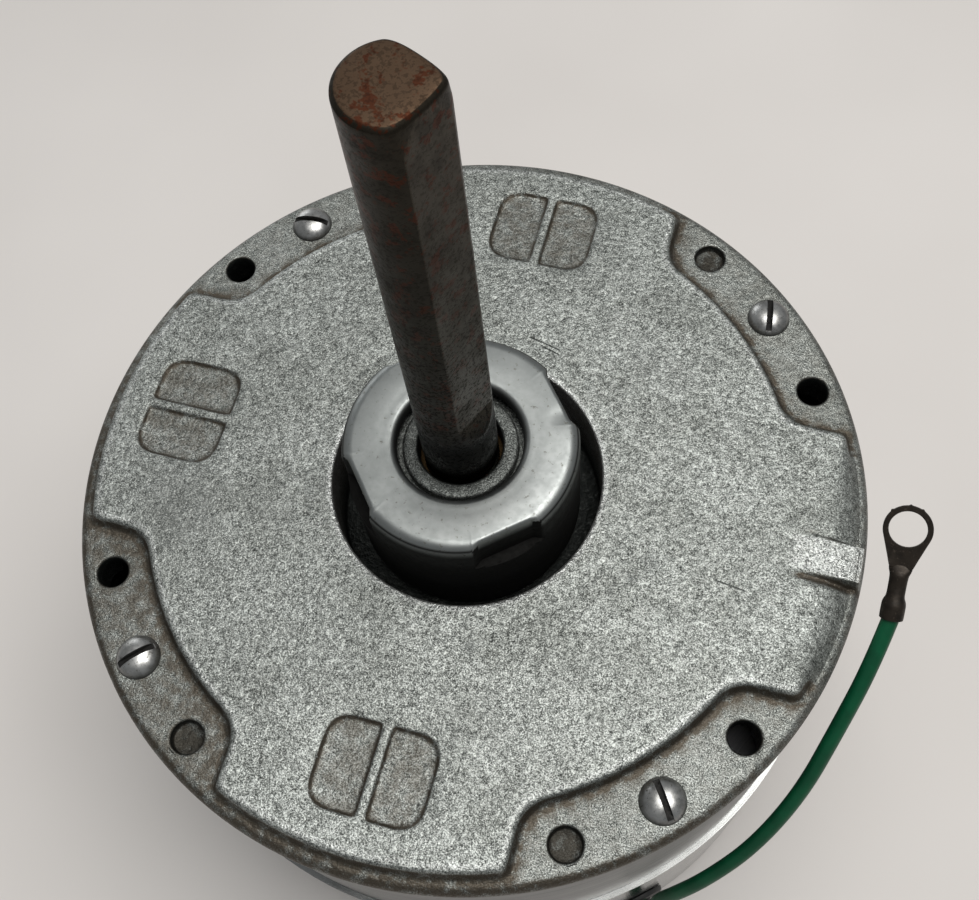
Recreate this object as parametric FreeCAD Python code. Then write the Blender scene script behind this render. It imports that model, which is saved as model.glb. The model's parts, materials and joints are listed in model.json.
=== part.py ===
"""Combustion fan motor: a totally enclosed induction motor that stands on its rear end, shaft up.

Units are millimetres. The origin is the centre of the rear end shield's rim, +Z runs up the
shaft, and +X points at the locating rib on the drive end shield's face.
"""
import FreeCAD, Part
import math
import os

Vector = FreeCAD.Vector

# ---- overall sizes -------------------------------------------------------------------------
body_height = 106.0        # rear rim to the drive end shield's raised face
flange_radius = 70.0       # drive end shield, 5.5 inch diameter
rear_radius = flange_radius + 0.5
shell_radius = flange_radius - 0.6
shell_wall = 1.5
seam_height = 54.0         # where the shell stands on the rear end shield
shaft_radius = 6.35        # 1/2 inch shaft
shaft_reach = 101.0        # tip above the raised face
shaft_tail = 5.0           # lower end of the shaft above the rim

# ---- clearances ----------------------------------------------------------------------------
running_fit = 0.03         # shaft in its sleeve bearings, on the radius
seat_fit = 0.05            # parts pushed into a seat, on the radius
end_play = 0.3             # thrust washer to bearing
air_gap = 0.4              # rotor to stator, on the radius
screw_gap = 0.07           # thread crests to their hole, on the radius

# ---- drive end shield ----------------------------------------------------------------------
face_radius = flange_radius - 3.2
face_step = 2.3            # raised face down to the flange and the lands
flange_thick = 2.2
face_plate = 5.5
spigot_length = 4.5
spigot_wall = 3.5
land_offset_x = 24.1       # the four screw lands start this far from the centre lines
land_offset_y = 23.9
land_inner_radius = flange_radius - 13.0
land_corner = 4.0
recess_gap = 3.85          # ring-shaped well around the bearing cap
recess_depth = 14.0
well_wall = 3.5
pocket_length = 19.5       # pairs of shallow pockets at +Y, -Y and -X
pocket_width = 15.4
pocket_centre = flange_radius - 16.8
pocket_rib = 1.5
pocket_depth = 0.8
pocket_corner = 4.6
rib_low, rib_high = -2.6, 3.5      # locating rib at +X, in Y
bevel_start = flange_radius - 8.0
mount_radius = flange_radius - 5.6     # mounting holes and their blind twins
mount_angle = 30.0
mount_hole = 2.7
blind_angle = 60.0
blind_hole = 2.75
blind_depth = 1.7

# ---- hubs, bearings and caps ---------------------------------------------------------------
bearing_radius = shaft_radius + 2.4
bearing_wall = 2.0         # hub tube around each bearing
lip_bore = shaft_radius + 0.75
nose_radius = lip_bore + 2.7
nose_rise = 13.0           # above the raised face
lip_length = 4.5
wick_width = 4.05          # felt well around the bearing's tube
boss_wall = 1.7
boss_radius = bearing_radius + bearing_wall + wick_width + boss_wall
boss_rise = 11.0           # above the raised face
drive_bearing_length = 24.5
rear_bearing_length = 19.5
rear_lip_length = 6.0
rear_hub_start = 3.0
rear_floor = 6.0
rear_floor_thick = 4.0
rear_wall = 2.6
rear_hub_top = 30.0
wick_gap = 0.25
cap_wall = 1.0
cap_room = 2.5             # boss to the cap's bore
cap_radius = boss_radius + cap_room + cap_wall
cap_rise = 15.0
cap_depth = 10.0           # below the raised face
cap_hole = nose_radius + 0.85
cap_edge = 2.0
cap_collar = 5.0           # height of the hub collar that the cap is pressed on
notch_push = 1.8           # how far the flats are pressed in from the cap's radius
notch_half = 5.5
notch_height = 8.0
notch_angles = (-50.0, 40.0, 130.0, 220.0)
rear_cap_radius = boss_radius + 0.45 + cap_wall
rear_cap_start = 1.2

# ---- through bolts -------------------------------------------------------------------------
bolt_circle = flange_radius - 5.9
bolt_radius = 2.08
bolt_angles = (45.0, 135.0, 225.0, 315.0)
slot_angles = (98.0, 7.0, 46.0, -56.0)     # direction of each screwdriver slot
head_radius = 3.85
head_height = 2.3
head_slot = 1.1
head_slot_depth = 1.3
post_radius = 4.6
lug_height = 7.5
thread_short = 1.5         # the bolt ends this far above the lug's underside

# ---- stator and rotor ----------------------------------------------------------------------
stack_length = 38.0
stack_gap = 0.1            # stack to the shell's bore, on the radius
rotor_radius = 38.0
slot_count = 24
slot_width = 5.4
slot_mouth = 2.2
tooth_tip = 2.2
back_iron = 10.8
liner_wall = 0.35
liner_overhang = 1.5
wedge_depth = 1.3
coil_gap = 0.1
coil_share = 0.58          # share of each slot's depth that the inner, auxiliary coils take
end_turn_gap = 3.0
end_turn_height = 12.0
end_turn_round = 2.5
lacing_wire = 0.8
lacing_count = 12
rotor_bars = 28
bar_radius = 1.9
bar_inset = 3.4            # bar centres inside the rotor's surface
ring_inner_inset = 10.5
ring_outer_inset = 0.6
ring_height = 7.5
fin_count = 9
fin_height = 4.5
fin_thick = 2.5
protector_width = 10.0
protector_height = 5.5
protector_gap = 1.4        # to the lacing on each side

# ---- shaft parts ---------------------------------------------------------------------------
flat_distance = 0.8 * shaft_radius     # both flats, from the axis
flat_angles = (-26.0, 64.0)
flat_start = 25.0          # above the raised face
flat_runout = 5.0
tip_chamfer = 0.7
oil_stop_radius = shaft_radius - 0.3   # shallow groove inside the hub's lip that keeps oil off the free shaft
oil_stop_length = 3.0
washer_radius = bearing_radius + 1.25
washer_thick = 0.8
slinger_radius = washer_radius + 2.0
slinger_thick = 1.2
clip_radius = shaft_radius + 2.05
clip_thick = 1.0
groove_radius = shaft_radius - 0.75
stack_step = 0.1           # air between the parts on the shaft

# ---- ground lead ---------------------------------------------------------------------------
lead_radius = 1.4
exit_angle = -48.5
exit_below_lug = 6.75
exit_tilt = 40.0           # the lead leaves the grommet at this slope, upward
exit_reach = 3.6           # from the middle of the wall to the grommet's lip, along the lead
exit_hole = 4.2
grommet_flange = 5.8
grommet_back = 5.2
grommet_plate = 1.2
grommet_lip = 2.3
lead_route = [             # grommet to ring terminal, in free air beside the shell
    (47.68, -53.89, 24.31),
    (49.40, -55.84, 26.50),
    (50.43, -57.00, 29.70),
    (50.43, -57.20, 34.10),
    (49.79, -56.08, 39.60),
    (50.00, -54.45, 45.60),
    (52.60, -53.10, 52.40),
    (57.30, -49.80, 60.20),
    (63.67, -43.25, 69.57),
    (68.77, -34.10, 81.01),
    (71.27, -24.47, 92.88),
    (73.54, -15.06, 102.70),
    (74.48, -7.89, 108.00),
]
ring_hole = 3.3
ring_radius = 4.15
ring_plate = 0.8
ring_distance = 14.9       # lead's end to the ring's centre
barrel_length = 5.2
barrel_radius = 1.75
bell_length = 3.0
bell_radius = 1.9
eyelet_inset = 17.9        # ground screw, inside the rear shield's wall
eyelet_boss = 5.0
eyelet_height = 13.0
ground_shank = 2.05
ground_head = 3.9

# ---- levels worked out from the sizes above ------------------------------------------------
face = body_height
land = face - face_step
flange_under = land - flange_thick
plate_under = face - face_plate
spigot_end = flange_under - spigot_length
well_floor = face - recess_depth
hub_mouth = well_floor - rear_floor_thick
nose_top = face + nose_rise
drive_bearing_top = nose_top - lip_length
drive_bearing_end = drive_bearing_top - drive_bearing_length
rear_bearing_bottom = rear_hub_start + rear_lip_length
rear_bearing_end = rear_bearing_bottom + rear_bearing_length
rear_inner_floor = rear_floor + rear_floor_thick
rear_bore = rear_radius - rear_wall
shell_bore = shell_radius - shell_wall
stack_start = (rear_inner_floor + plate_under - stack_length) / 2
stack_end = stack_start + stack_length
stack_radius = min(shell_bore, rear_bore) - stack_gap
stator_bore = rotor_radius + air_gap
slot_inner = stator_bore + tooth_tip
slot_outer = stack_radius - back_iron
coil_split = slot_inner + coil_share * (slot_outer - slot_inner)
lug_start = stack_start - lug_height
exit_height = lug_start - exit_below_lug
eyelet_radius_at = rear_bore - eyelet_inset
bar_circle = rotor_radius - bar_inset
ring_inner = rotor_radius - ring_inner_inset
recess_radius = cap_radius + recess_gap
notch_flat = cap_radius - notch_push
tube_radius = bearing_radius + bearing_wall
well_inner = boss_radius - boss_wall


def ring(inner, outer, low, high):
    """Straight ring around the shaft's axis; an inner radius of 0 gives a disc."""
    solid = Part.makeCylinder(outer, high - low, Vector(0, 0, low))
    if inner > 0:
        solid = solid.cut(Part.makeCylinder(inner, high - low, Vector(0, 0, low)))
    return solid


def turned(points):
    """Solid of revolution about Z from a closed outline of (radius, height) points."""
    outline = [Vector(r, 0, z) for r, z in points]
    wire = Part.makePolygon(outline + outline[:1])
    return Part.Face(wire).revolve(Vector(0, 0, 0), Vector(0, 0, 1), 360)


def block(x0, x1, y0, y1, z0, z1):
    """Box between two corners."""
    return Part.makeBox(x1 - x0, y1 - y0, z1 - z0, Vector(x0, y0, z0))


def around(solid, angle):
    """Copy turned about the shaft's axis by an angle in degrees."""
    copy = solid.copy()
    copy.rotate(Vector(0, 0, 0), Vector(0, 0, 1), angle)
    return copy


def at(radius, angle, height=0.0):
    """Point at a radius and an angle in degrees around the shaft."""
    turn = math.radians(angle)
    return Vector(radius * math.cos(turn), radius * math.sin(turn), height)


def post(radius, centre_radius, angle, low, high):
    """Upright cylinder away from the shaft's axis."""
    return Part.makeCylinder(radius, high - low, at(centre_radius, angle, low))


def upright_edges(solid, wanted):
    """Vertical straight edges that the test called wanted picks by their place."""
    edges = []
    for edge in solid.Edges:
        first, last = edge.Vertexes[0].Point, edge.Vertexes[-1].Point
        upright = abs(first.x - last.x) < 1e-6 and abs(first.y - last.y) < 1e-6
        if upright and abs(first.z - last.z) > 1e-6 and wanted(first):
            edges.append(edge)
    return edges


def joined(solids):
    """One solid from overlapping ones."""
    first, rest = solids[0], solids[1:]
    return first.multiFuse(rest).removeSplitter() if rest else first


# ---- shared hub: bearing seat, wick well and lip -------------------------------------------
def wick(low, high):
    """Felt ring in the hub's well, with two tongues that reach in to the bearing."""
    felt = ring(tube_radius + wick_gap, well_inner - wick_gap, low, high)
    middle = (low + high) / 2
    tongue = block(bearing_radius + wick_gap, tube_radius + 1.0, -2.0, 2.0, middle - 3, middle + 3)
    return joined([felt] + [around(tongue, turn) for turn in (0, 180)])


def wick_windows(low, high):
    """Two openings in the hub's tube for the wick's tongues."""
    middle = (low + high) / 2
    window = block(bearing_radius - 1.0, tube_radius + 0.5, -2.3, 2.3, middle - 3.3, middle + 3.3)
    return [around(window, turn) for turn in (0, 180)]


drive_well = (well_floor, drive_bearing_top - 2.0)
rear_well = (rear_bearing_bottom + 2.0, rear_bearing_end - 2.0)
drive_wick_span = (drive_well[0] + wick_gap, drive_well[1] - wick_gap)
rear_wick_span = (rear_well[0] + wick_gap, rear_well[1] - wick_gap)


# ---- housing -------------------------------------------------------------------------------
def land_cutter():
    """Space above one screw land: an outer corner with a rounded inner wall."""
    reach = flange_radius + 10
    corner = block(land_offset_x, reach, land_offset_y, reach, land, face + 5)
    corner = corner.cut(ring(0, land_inner_radius, land - 1, face + 6))
    on_wall = lambda p: abs(math.hypot(p.x, p.y) - land_inner_radius) < 1e-3
    return corner.makeFillet(land_corner, upright_edges(corner, on_wall))


def pocket_pair():
    """Two shallow pockets side by side at +X, outer corners rounded."""
    inner = pocket_centre - pocket_width / 2
    outer = pocket_centre + pocket_width / 2
    far = pocket_length / 2
    half = block(inner, outer, pocket_rib / 2, far, face - pocket_depth, face + 2)
    half = half.makeFillet(pocket_corner, upright_edges(half, lambda p: p.y > far - 0.01))
    return [half, half.mirror(Vector(0, 0, 0), Vector(0, 1, 0))]


def sector_bevel():
    """Sloping cut along the +X edge of the face, on both sides of the rib."""
    reach = flange_radius + 1
    drop = face_step + 0.2
    corners = [(bevel_start, face), (reach, face - drop), (reach, face + 1), (bevel_start, face + 1)]
    pieces = []
    for low, high in ((-land_offset_y, rib_low), (rib_high, land_offset_y)):
        outline = [Vector(x, low, z) for x, z in corners]
        side = Part.Face(Part.makePolygon(outline + outline[:1]))
        pieces.append(side.extrude(Vector(0, high - low, 0)))
    return pieces


def drive_end_shield():
    edge = 1.3
    spigot = shell_bore - seat_fit
    collar = cap_radius - cap_wall - seat_fit
    body = turned([
        (lip_bore, nose_top), (nose_radius, nose_top), (nose_radius, face + boss_rise),
        (boss_radius, face + boss_rise), (boss_radius, face - cap_depth + cap_collar),
        (collar, face - cap_depth + cap_collar), (collar, well_floor),
        (recess_radius, well_floor), (recess_radius, face - 0.4), (recess_radius + 0.4, face),
        (face_radius, face), (face_radius + 1.3, land), (flange_radius - edge, land),
        (flange_radius, land - edge), (flange_radius, flange_under), (spigot, flange_under),
        (spigot, spigot_end), (spigot - spigot_wall, spigot_end),
        (spigot - spigot_wall, plate_under), (recess_radius + well_wall, plate_under),
        (recess_radius + well_wall, hub_mouth), (well_inner, hub_mouth),
        (well_inner, drive_well[1]), (tube_radius, drive_well[1]), (tube_radius, well_floor),
        (bearing_radius, well_floor), (bearing_radius, drive_bearing_top),
        (lip_bore, drive_bearing_top)])
    posts = [post(post_radius, bolt_circle, a, stack_end, plate_under + 1) for a in bolt_angles]
    inside = ring(0, spigot, stack_end, land)
    rib = block(face_radius - 1, flange_radius, rib_low, rib_high, land - 1, face)
    rib = rib.common(ring(0, flange_radius - 0.7, land - 1, face))
    body = joined([body, rib] + [p.common(inside) for p in posts])
    cuts = [around(land_cutter(), 90 * k) if k % 2 == 0 else
            around(land_cutter().mirror(Vector(0, 0, 0), Vector(1, -1, 0)), 90 * k)
            for k in range(4)]
    for turn in (90, 180, 270):
        cuts += [around(p, turn) for p in pocket_pair()]
    cuts += sector_bevel()
    cuts += wick_windows(*drive_wick_span)
    for side in (0, 180):
        for sign in (-1, 1):
            through = side + sign * mount_angle
            blind = side + sign * blind_angle
            cuts.append(post(mount_hole, mount_radius, through, spigot_end - 1, face))
            cuts.append(post(blind_hole, mount_radius, blind, land - blind_depth, face))
    cuts += [post(bolt_radius + screw_gap, bolt_circle, a, stack_end - 1, face) for a in bolt_angles]
    return body.cut(cuts)


def rear_end_shield():
    edge = 1.5
    collar = rear_cap_radius - cap_wall - seat_fit
    body = turned([
        (lip_bore, rear_hub_start), (collar, rear_hub_start), (collar, rear_floor),
        (rear_bore, rear_floor), (rear_bore, 0), (rear_radius - edge, 0), (rear_radius, edge),
        (rear_radius, seam_height), (rear_bore, seam_height), (rear_bore, rear_inner_floor),
        (boss_radius, rear_inner_floor), (boss_radius, rear_hub_top),
        (well_inner, rear_hub_top), (well_inner, rear_well[0]), (tube_radius, rear_well[0]),
        (tube_radius, rear_well[1]), (bearing_radius, rear_well[1]),
        (bearing_radius, rear_bearing_bottom), (lip_bore, rear_bearing_bottom)])
    inside = ring(0, rear_bore + 0.5, lug_start, stack_start)
    lugs = [post(post_radius, bolt_circle, a, lug_start, stack_start).common(inside)
            for a in bolt_angles]
    boss = post(eyelet_boss, eyelet_radius_at, exit_angle, rear_inner_floor - 1, eyelet_height)
    body = joined([body] + lugs + [boss])
    cuts = [post(bolt_radius + screw_gap, bolt_circle, a, lug_start - 1, stack_start + 1)
            for a in bolt_angles]
    cuts += wick_windows(*rear_wick_span)
    outward = at(1, exit_angle)
    cuts.append(Part.makeCylinder(exit_hole, 12, at(rear_bore - 6, exit_angle, exit_height), outward))
    cuts.append(post(ground_shank + screw_gap, eyelet_radius_at, exit_angle,
                     rear_floor + 1.2, eyelet_height + 1))
    return body.cut(cuts)


def shell():
    return ring(shell_bore, shell_radius, seam_height, flange_under)


def notched(radius, low, high, flat, half, bottom, edge):
    """Round-topped drum with a flat pressed in at each notch angle."""
    drum = Part.makeCylinder(radius, high - low, Vector(0, 0, low))
    top = [e for e in drum.Edges if len(e.Vertexes) == 1 and abs(e.Vertexes[0].Z - high) < 1e-6]
    drum = drum.makeFillet(edge, top)
    flat_box = block(flat, radius + 5, -half, half, bottom, high + 5)
    return drum.cut([around(flat_box, a) for a in notch_angles])


def drive_bearing_cap():
    low, high = face - cap_depth, face + cap_rise
    outer = notched(cap_radius, low, high, notch_flat, notch_half, high - notch_height, cap_edge)
    inner = notched(cap_radius - cap_wall, low - 1, high - cap_wall, notch_flat - cap_wall,
                    notch_half + cap_wall, high - notch_height - cap_wall, cap_edge - cap_wall)
    cap = outer.cut(inner)
    lip = ring(cap_hole, cap_hole + cap_wall, high - 2.2, high - cap_wall / 2)
    cap = joined([cap, lip])
    return cap.cut(ring(0, cap_hole, low - 2, high + 2))


def rear_bearing_cap():
    top = rear_floor - seat_fit
    cup = ring(0, rear_cap_radius, rear_cap_start, top)
    return cup.cut(ring(0, rear_cap_radius - cap_wall, rear_cap_start + cap_wall, top))


def sleeve(low, high):
    """Plain sleeve bearing that runs on the shaft."""
    return ring(shaft_radius + running_fit, bearing_radius - seat_fit / 2, low, high)


def wick_retainer(low):
    """Pressed washer that closes a hub's wick well."""
    return ring(bearing_radius + wick_gap, well_inner - seat_fit, low, low + 1.0)


# ---- through bolts -------------------------------------------------------------------------
def through_bolt(angle, slot_angle):
    """Long slotted round-head screw from a land down into the rear shield's lug."""
    tip = lug_start + thread_short
    shank = Part.makeCylinder(bolt_radius, land - tip + 0.5, Vector(0, 0, tip))
    head = Part.makeCylinder(head_radius, head_height, Vector(0, 0, land))
    top = [e for e in head.Edges if len(e.Vertexes) == 1 and e.Vertexes[0].Z > land + 1]
    head = head.makeFillet(head_height * 0.75, top)
    bolt = joined([shank, head])
    crown = land + head_height
    groove = block(-head_radius - 1, head_radius + 1, -head_slot / 2, head_slot / 2,
                   crown - head_slot_depth, crown + 1)
    bolt = bolt.cut(around(groove, slot_angle))
    bolt.translate(at(bolt_circle, angle))
    return bolt


def through_bolts():
    return Part.makeCompound([through_bolt(a, s) for a, s in zip(bolt_angles, slot_angles)])


# ---- stator --------------------------------------------------------------------------------
def slot_places():
    """Slot centre angles; the bolts pass midway between two slots."""
    pitch = 360.0 / slot_count
    return [pitch * (k + 0.5) for k in range(slot_count)]


def stator_core():
    core = ring(stator_bore, stack_radius, stack_start, stack_end)
    low, high = stack_start - 1, stack_end + 1
    slot = block(slot_inner, slot_outer, -slot_width / 2, slot_width / 2, low, high)
    mouth = block(stator_bore - 1, slot_inner + 0.5, -slot_mouth / 2, slot_mouth / 2, low, high)
    cuts = [around(slot.fuse(mouth), a) for a in slot_places()]
    relief = bolt_radius + 0.6
    channel = post(relief, bolt_circle, 0, low, high)
    channel = channel.fuse(block(bolt_circle, stack_radius + 2, -relief, relief, low, high))
    cuts += [around(channel, a) for a in bolt_angles]
    return core.cut(cuts)


def slot_liners():
    """Thin insulating boxes, open at both ends, one in each slot."""
    gap = coil_gap / 2
    low, high = stack_start - liner_overhang, stack_end + liner_overhang
    half = slot_width / 2 - gap
    outer = block(slot_inner + gap, slot_outer - gap, -half, half, low, high)
    inner = block(slot_inner + gap + liner_wall, slot_outer - gap - liner_wall,
                  -half + liner_wall, half - liner_wall, low - 1, high + 1)
    liner = outer.cut(inner)
    return Part.makeCompound([around(liner, a) for a in slot_places()])


def slot_wedges():
    """Insulating strips that close each slot behind its mouth."""
    start = slot_inner + coil_gap + liner_wall
    half = slot_width / 2 - coil_gap - liner_wall
    strip = block(start, start + wedge_depth, -half, half, stack_start - 1, stack_end + 1)
    return Part.makeCompound([around(strip, a) for a in slot_places()])


def coils(inner, outer, ring_outer):
    """Winding: a bundle through every slot, with a wrapped end turn above and below."""
    half = slot_width / 2 - coil_gap - liner_wall - coil_gap / 2
    low = stack_start - end_turn_gap - end_turn_height
    high = stack_end + end_turn_gap + end_turn_height
    rounding = min(end_turn_round, 0.4 * (ring_outer - inner))
    turns = []
    for start in (low, high - end_turn_height):
        hoop = ring(inner, ring_outer, start, start + end_turn_height)
        turns.append(hoop.makeFillet(rounding, round_edges(hoop)))
    bundle = block(inner + 0.3, outer, -half, half, low + end_turn_height / 2,
                   high - end_turn_height / 2)
    return joined(turns + [around(bundle, a) for a in slot_places()])


def round_edges(solid):
    """Full circles of a ring, without its seam lines."""
    return [e for e in solid.Edges if len(e.Vertexes) == 1]


def main_winding():
    start = coil_split + coil_gap
    return coils(start, slot_outer - coil_gap - liner_wall, slot_outer + 1.5)


def auxiliary_winding():
    start = slot_inner + 2 * coil_gap + liner_wall + wedge_depth
    return coils(start, coil_split - coil_gap, coil_split - coil_gap)


def winding_lacing():
    """Cord loops that bind both end turns, between the slots."""
    inner = slot_inner + 2 * coil_gap + liner_wall + wedge_depth - 0.1
    outer = slot_outer + 1.6
    pitch = 360.0 / lacing_count
    loops = []
    for start in (stack_start - end_turn_gap - end_turn_height, stack_end + end_turn_gap):
        low, high = start - 0.1, start + end_turn_height + 0.1
        half = lacing_wire / 2
        frame = block(inner - lacing_wire, outer + lacing_wire, -half, half,
                      low - lacing_wire, high + lacing_wire)
        frame = frame.cut(block(inner, outer, -half - 1, half + 1, low, high))
        loops += [around(frame, pitch * k) for k in range(lacing_count)]
    return Part.makeCompound(loops)


def thermal_protector():
    """Sealed cut-out on top of the end turns, between two lacings."""
    bottom = stack_end + end_turn_gap + end_turn_height + 0.2
    middle = (slot_inner + slot_outer) / 2
    inner = middle - protector_width / 2
    half = inner * math.sin(math.pi / lacing_count) - lacing_wire - protector_gap
    can = block(inner, middle + protector_width / 2, -half, half, bottom, bottom + protector_height)
    can = can.makeFillet(1.5, upright_edges(can, lambda p: True))
    return around(can, 180.0 / lacing_count)


# ---- rotor ---------------------------------------------------------------------------------
def bar_places():
    return [360.0 / rotor_bars * k for k in range(rotor_bars)]


def rotor_core():
    core = ring(shaft_radius + 0.01, rotor_radius, stack_start, stack_end)
    holes = [post(bar_radius + 0.01, bar_circle, a, stack_start - 1, stack_end + 1)
             for a in bar_places()]
    return core.cut(holes)


def rotor_cage():
    """Cast cage: a bar through every hole, a short-circuit ring at each end, and its fins."""
    ring_outer = rotor_radius - ring_outer_inset
    low, high = stack_start - ring_height, stack_end + ring_height
    pieces = [ring(ring_inner, ring_outer, low, stack_start),
              ring(ring_inner, ring_outer, stack_end, high)]
    pieces += [post(bar_radius, bar_circle, a, low + 1, high - 1) for a in bar_places()]
    fin = block(ring_inner + 0.5, ring_outer - 1.0, -fin_thick / 2, fin_thick / 2, 0, fin_height + 1)
    for start in (low - fin_height, high - 1):
        for k in range(fin_count):
            blade = around(fin, 360.0 / fin_count * k)
            blade.translate(Vector(0, 0, start))
            pieces.append(blade)
    return joined(pieces)


def shaft_stack(bearing_face, inward):
    """Levels of washer, slinger and clip beside a bearing, counted inward along the shaft."""
    washer = bearing_face + inward * end_play
    slinger = washer + inward * (washer_thick + stack_step)
    clip = slinger + inward * (slinger_thick + stack_step)
    return washer, slinger, clip


drive_levels = shaft_stack(drive_bearing_end, -1)
rear_levels = shaft_stack(rear_bearing_end, 1)


def shaft_disc(level, inward, thick, inner, outer):
    """Disc on the shaft that starts at a level and grows inward."""
    low, high = sorted((level, level + inward * thick))
    return ring(inner, outer, low, high)


def thrust_washer(levels, inward):
    return shaft_disc(levels[0], inward, washer_thick, shaft_radius + seat_fit, washer_radius)


def slinger(levels, inward):
    """Oil slinger: a thin disc with a turned rim that throws the oil back to the wick."""
    disc = shaft_disc(levels[1], inward, slinger_thick, shaft_radius + seat_fit, slinger_radius)
    groove = shaft_disc(levels[1] + inward * slinger_thick / 2, inward, slinger_thick,
                        washer_radius - 1.0, slinger_radius - 0.6)
    return disc.cut(groove)


def retaining_rings():
    clips = []
    for levels, inward in ((drive_levels, -1), (rear_levels, 1)):
        clip = shaft_disc(levels[2], inward, clip_thick, groove_radius + 0.02, clip_radius)
        gap = block(0, clip_radius + 1, -1.6, 1.6, 0, body_height)
        clips.append(clip.cut(gap))
    return Part.makeCompound(clips)


def shaft():
    """Shaft with two flats; its round face is parted where the flats reach full depth."""
    tip = face + shaft_reach
    start = face + flat_start
    full_depth = start + flat_runout
    rods = []
    for low, high, end in ((shaft_tail, full_depth, shaft_tail), (full_depth, tip, tip)):
        rod = Part.makeCylinder(shaft_radius, high - low, Vector(0, 0, low))
        rim = [e for e in rod.Edges if len(e.Vertexes) == 1 and abs(e.Vertexes[0].Z - end) < 0.01]
        rods.append(rod.makeChamfer(tip_chamfer, rim))
    rod = rods[0].fuse(rods[1])
    past = shaft_radius + 2
    side = [(flat_distance, full_depth), (flat_distance, tip + 1), (past, tip + 1),
            (past, start - 1.0), (shaft_radius + 0.05, start)]
    outline = [Vector(x, -past, z) for x, z in side]
    cutter = Part.Face(Part.makePolygon(outline + outline[:1])).extrude(Vector(0, 2 * past, 0))
    cuts = [around(cutter, a) for a in flat_angles]
    for levels, inward in ((drive_levels, -1), (rear_levels, 1)):
        low, high = sorted((levels[2] - inward * 0.05, levels[2] + inward * (clip_thick + 0.05)))
        cuts.append(ring(groove_radius, shaft_radius + 1, low, high))
    cuts.append(ring(oil_stop_radius, shaft_radius + 1, nose_top - oil_stop_length, nose_top))
    return rod.cut(cuts)


# ---- ground lead ---------------------------------------------------------------------------
def tube_along(points, radius, label):
    """Round lead along straight runs joined by tangent arcs, as large as the runs allow."""
    points = [Vector(*p) for p in points]
    edges, radii, here = [], [], points[0]
    for before, corner, after in zip(points, points[1:], points[2:]):
        back, ahead = before - corner, after - corner
        turn = math.pi - back.getAngle(ahead)
        bend = 0.45 * min(back.Length, ahead.Length) / math.tan(turn / 2)
        setback = bend * math.tan(turn / 2)
        back.normalize()
        ahead.normalize()
        first, last = corner + back * setback, corner + ahead * setback
        inward = (back + ahead).normalize()
        middle = corner + inward * (bend / math.cos(turn / 2) - bend)
        edges.append(Part.LineSegment(here, first).toShape())
        edges.append(Part.Arc(first, middle, last).toShape())
        radii.append(bend)
        here = last
    edges.append(Part.LineSegment(here, points[-1]).toShape())
    path = Part.Wire(edges)
    profile = Part.Wire(Part.makeCircle(radius, points[0], points[1] - points[0]))
    tube = path.makePipeShell([profile], True, False)
    expected = math.pi * radius ** 2 * path.Length
    print(label, "length %.1f" % path.Length, "volume ratio %.4f" % (tube.Volume / expected),
          "arc radii", " ".join("%.1f" % r for r in radii))
    return tube


def exit_point(distance):
    """Point on the lead's sloping line through the rear end shield's wall, outward from its middle."""
    slope = math.radians(exit_tilt)
    reach = rear_radius - rear_wall / 2 + distance * math.cos(slope)
    return at(reach, exit_angle, exit_height + distance * math.sin(slope))


def lead_grommet():
    """Snap bushing in the rear shield's wall, with a sloping lip that turns the lead upward."""
    wall_in = rear_bore - 0.3
    outline = [(0, wall_in - grommet_plate), (grommet_back, wall_in - grommet_plate),
               (grommet_back, wall_in), (exit_hole - seat_fit, wall_in),
               (exit_hole - seat_fit, rear_radius), (grommet_flange, rear_radius),
               (grommet_flange - 0.4, rear_radius + grommet_plate),
               (0, rear_radius + grommet_plate)]
    bush = turned(outline)
    bush.rotate(Vector(0, 0, 0), Vector(0, 1, 0), 90)
    bush.translate(Vector(0, 0, exit_height))
    slope = exit_point(1) - exit_point(0)
    lip = Part.makeCone(grommet_lip + 0.7, grommet_lip, exit_reach, exit_point(0), slope)
    bore = Part.makeCylinder(lead_radius + 0.05, 16, exit_point(-10), slope)
    return joined([around(bush, exit_angle), lip]).cut(bore)


def ground_lead_tail():
    """Inner end of the ground lead, from the grommet down to the eyelet on the floor."""
    drop = eyelet_height + ring_plate + lead_radius
    corner = exit_point((drop - exit_height) / math.sin(math.radians(exit_tilt)))
    route = [exit_point(exit_reach), corner, at(eyelet_radius_at + 6.5, exit_angle, drop)]
    return tube_along(route, lead_radius, "ground_lead_tail")


def ground_eyelet():
    """Ring with a short barrel around the lead's inner end, flat on its boss."""
    low = eyelet_height
    plate = post(eyelet_boss - 0.5, eyelet_radius_at, 0, low, low + ring_plate)
    tongue = block(eyelet_radius_at + 3, eyelet_radius_at + 9, -1.6, 1.6, low, low + ring_plate)
    barrel_axis = low + ring_plate + lead_radius
    barrel = Part.makeCylinder(lead_radius + 0.6, 3.5,
                               Vector(eyelet_radius_at + 5.5, 0, barrel_axis), Vector(1, 0, 0))
    bore = Part.makeCylinder(lead_radius + 0.03, 5,
                             Vector(eyelet_radius_at + 5, 0, barrel_axis), Vector(1, 0, 0))
    eyelet = joined([plate, tongue, barrel]).cut(bore)
    eyelet = eyelet.cut(post(ground_shank + 0.15, eyelet_radius_at, 0, low - 1, low + 2))
    return around(eyelet, exit_angle)


def ground_screw():
    low = eyelet_height + ring_plate
    shank = post(ground_shank, eyelet_radius_at, exit_angle, rear_floor + 2.2, low + 0.5)
    head = post(ground_head, eyelet_radius_at, exit_angle, low, low + 2.2)
    slot = block(-5, 5, -0.5, 0.5, low + 1.2, low + 3)
    slot.translate(at(eyelet_radius_at, exit_angle))
    return joined([shank, head]).cut(slot)


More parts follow.
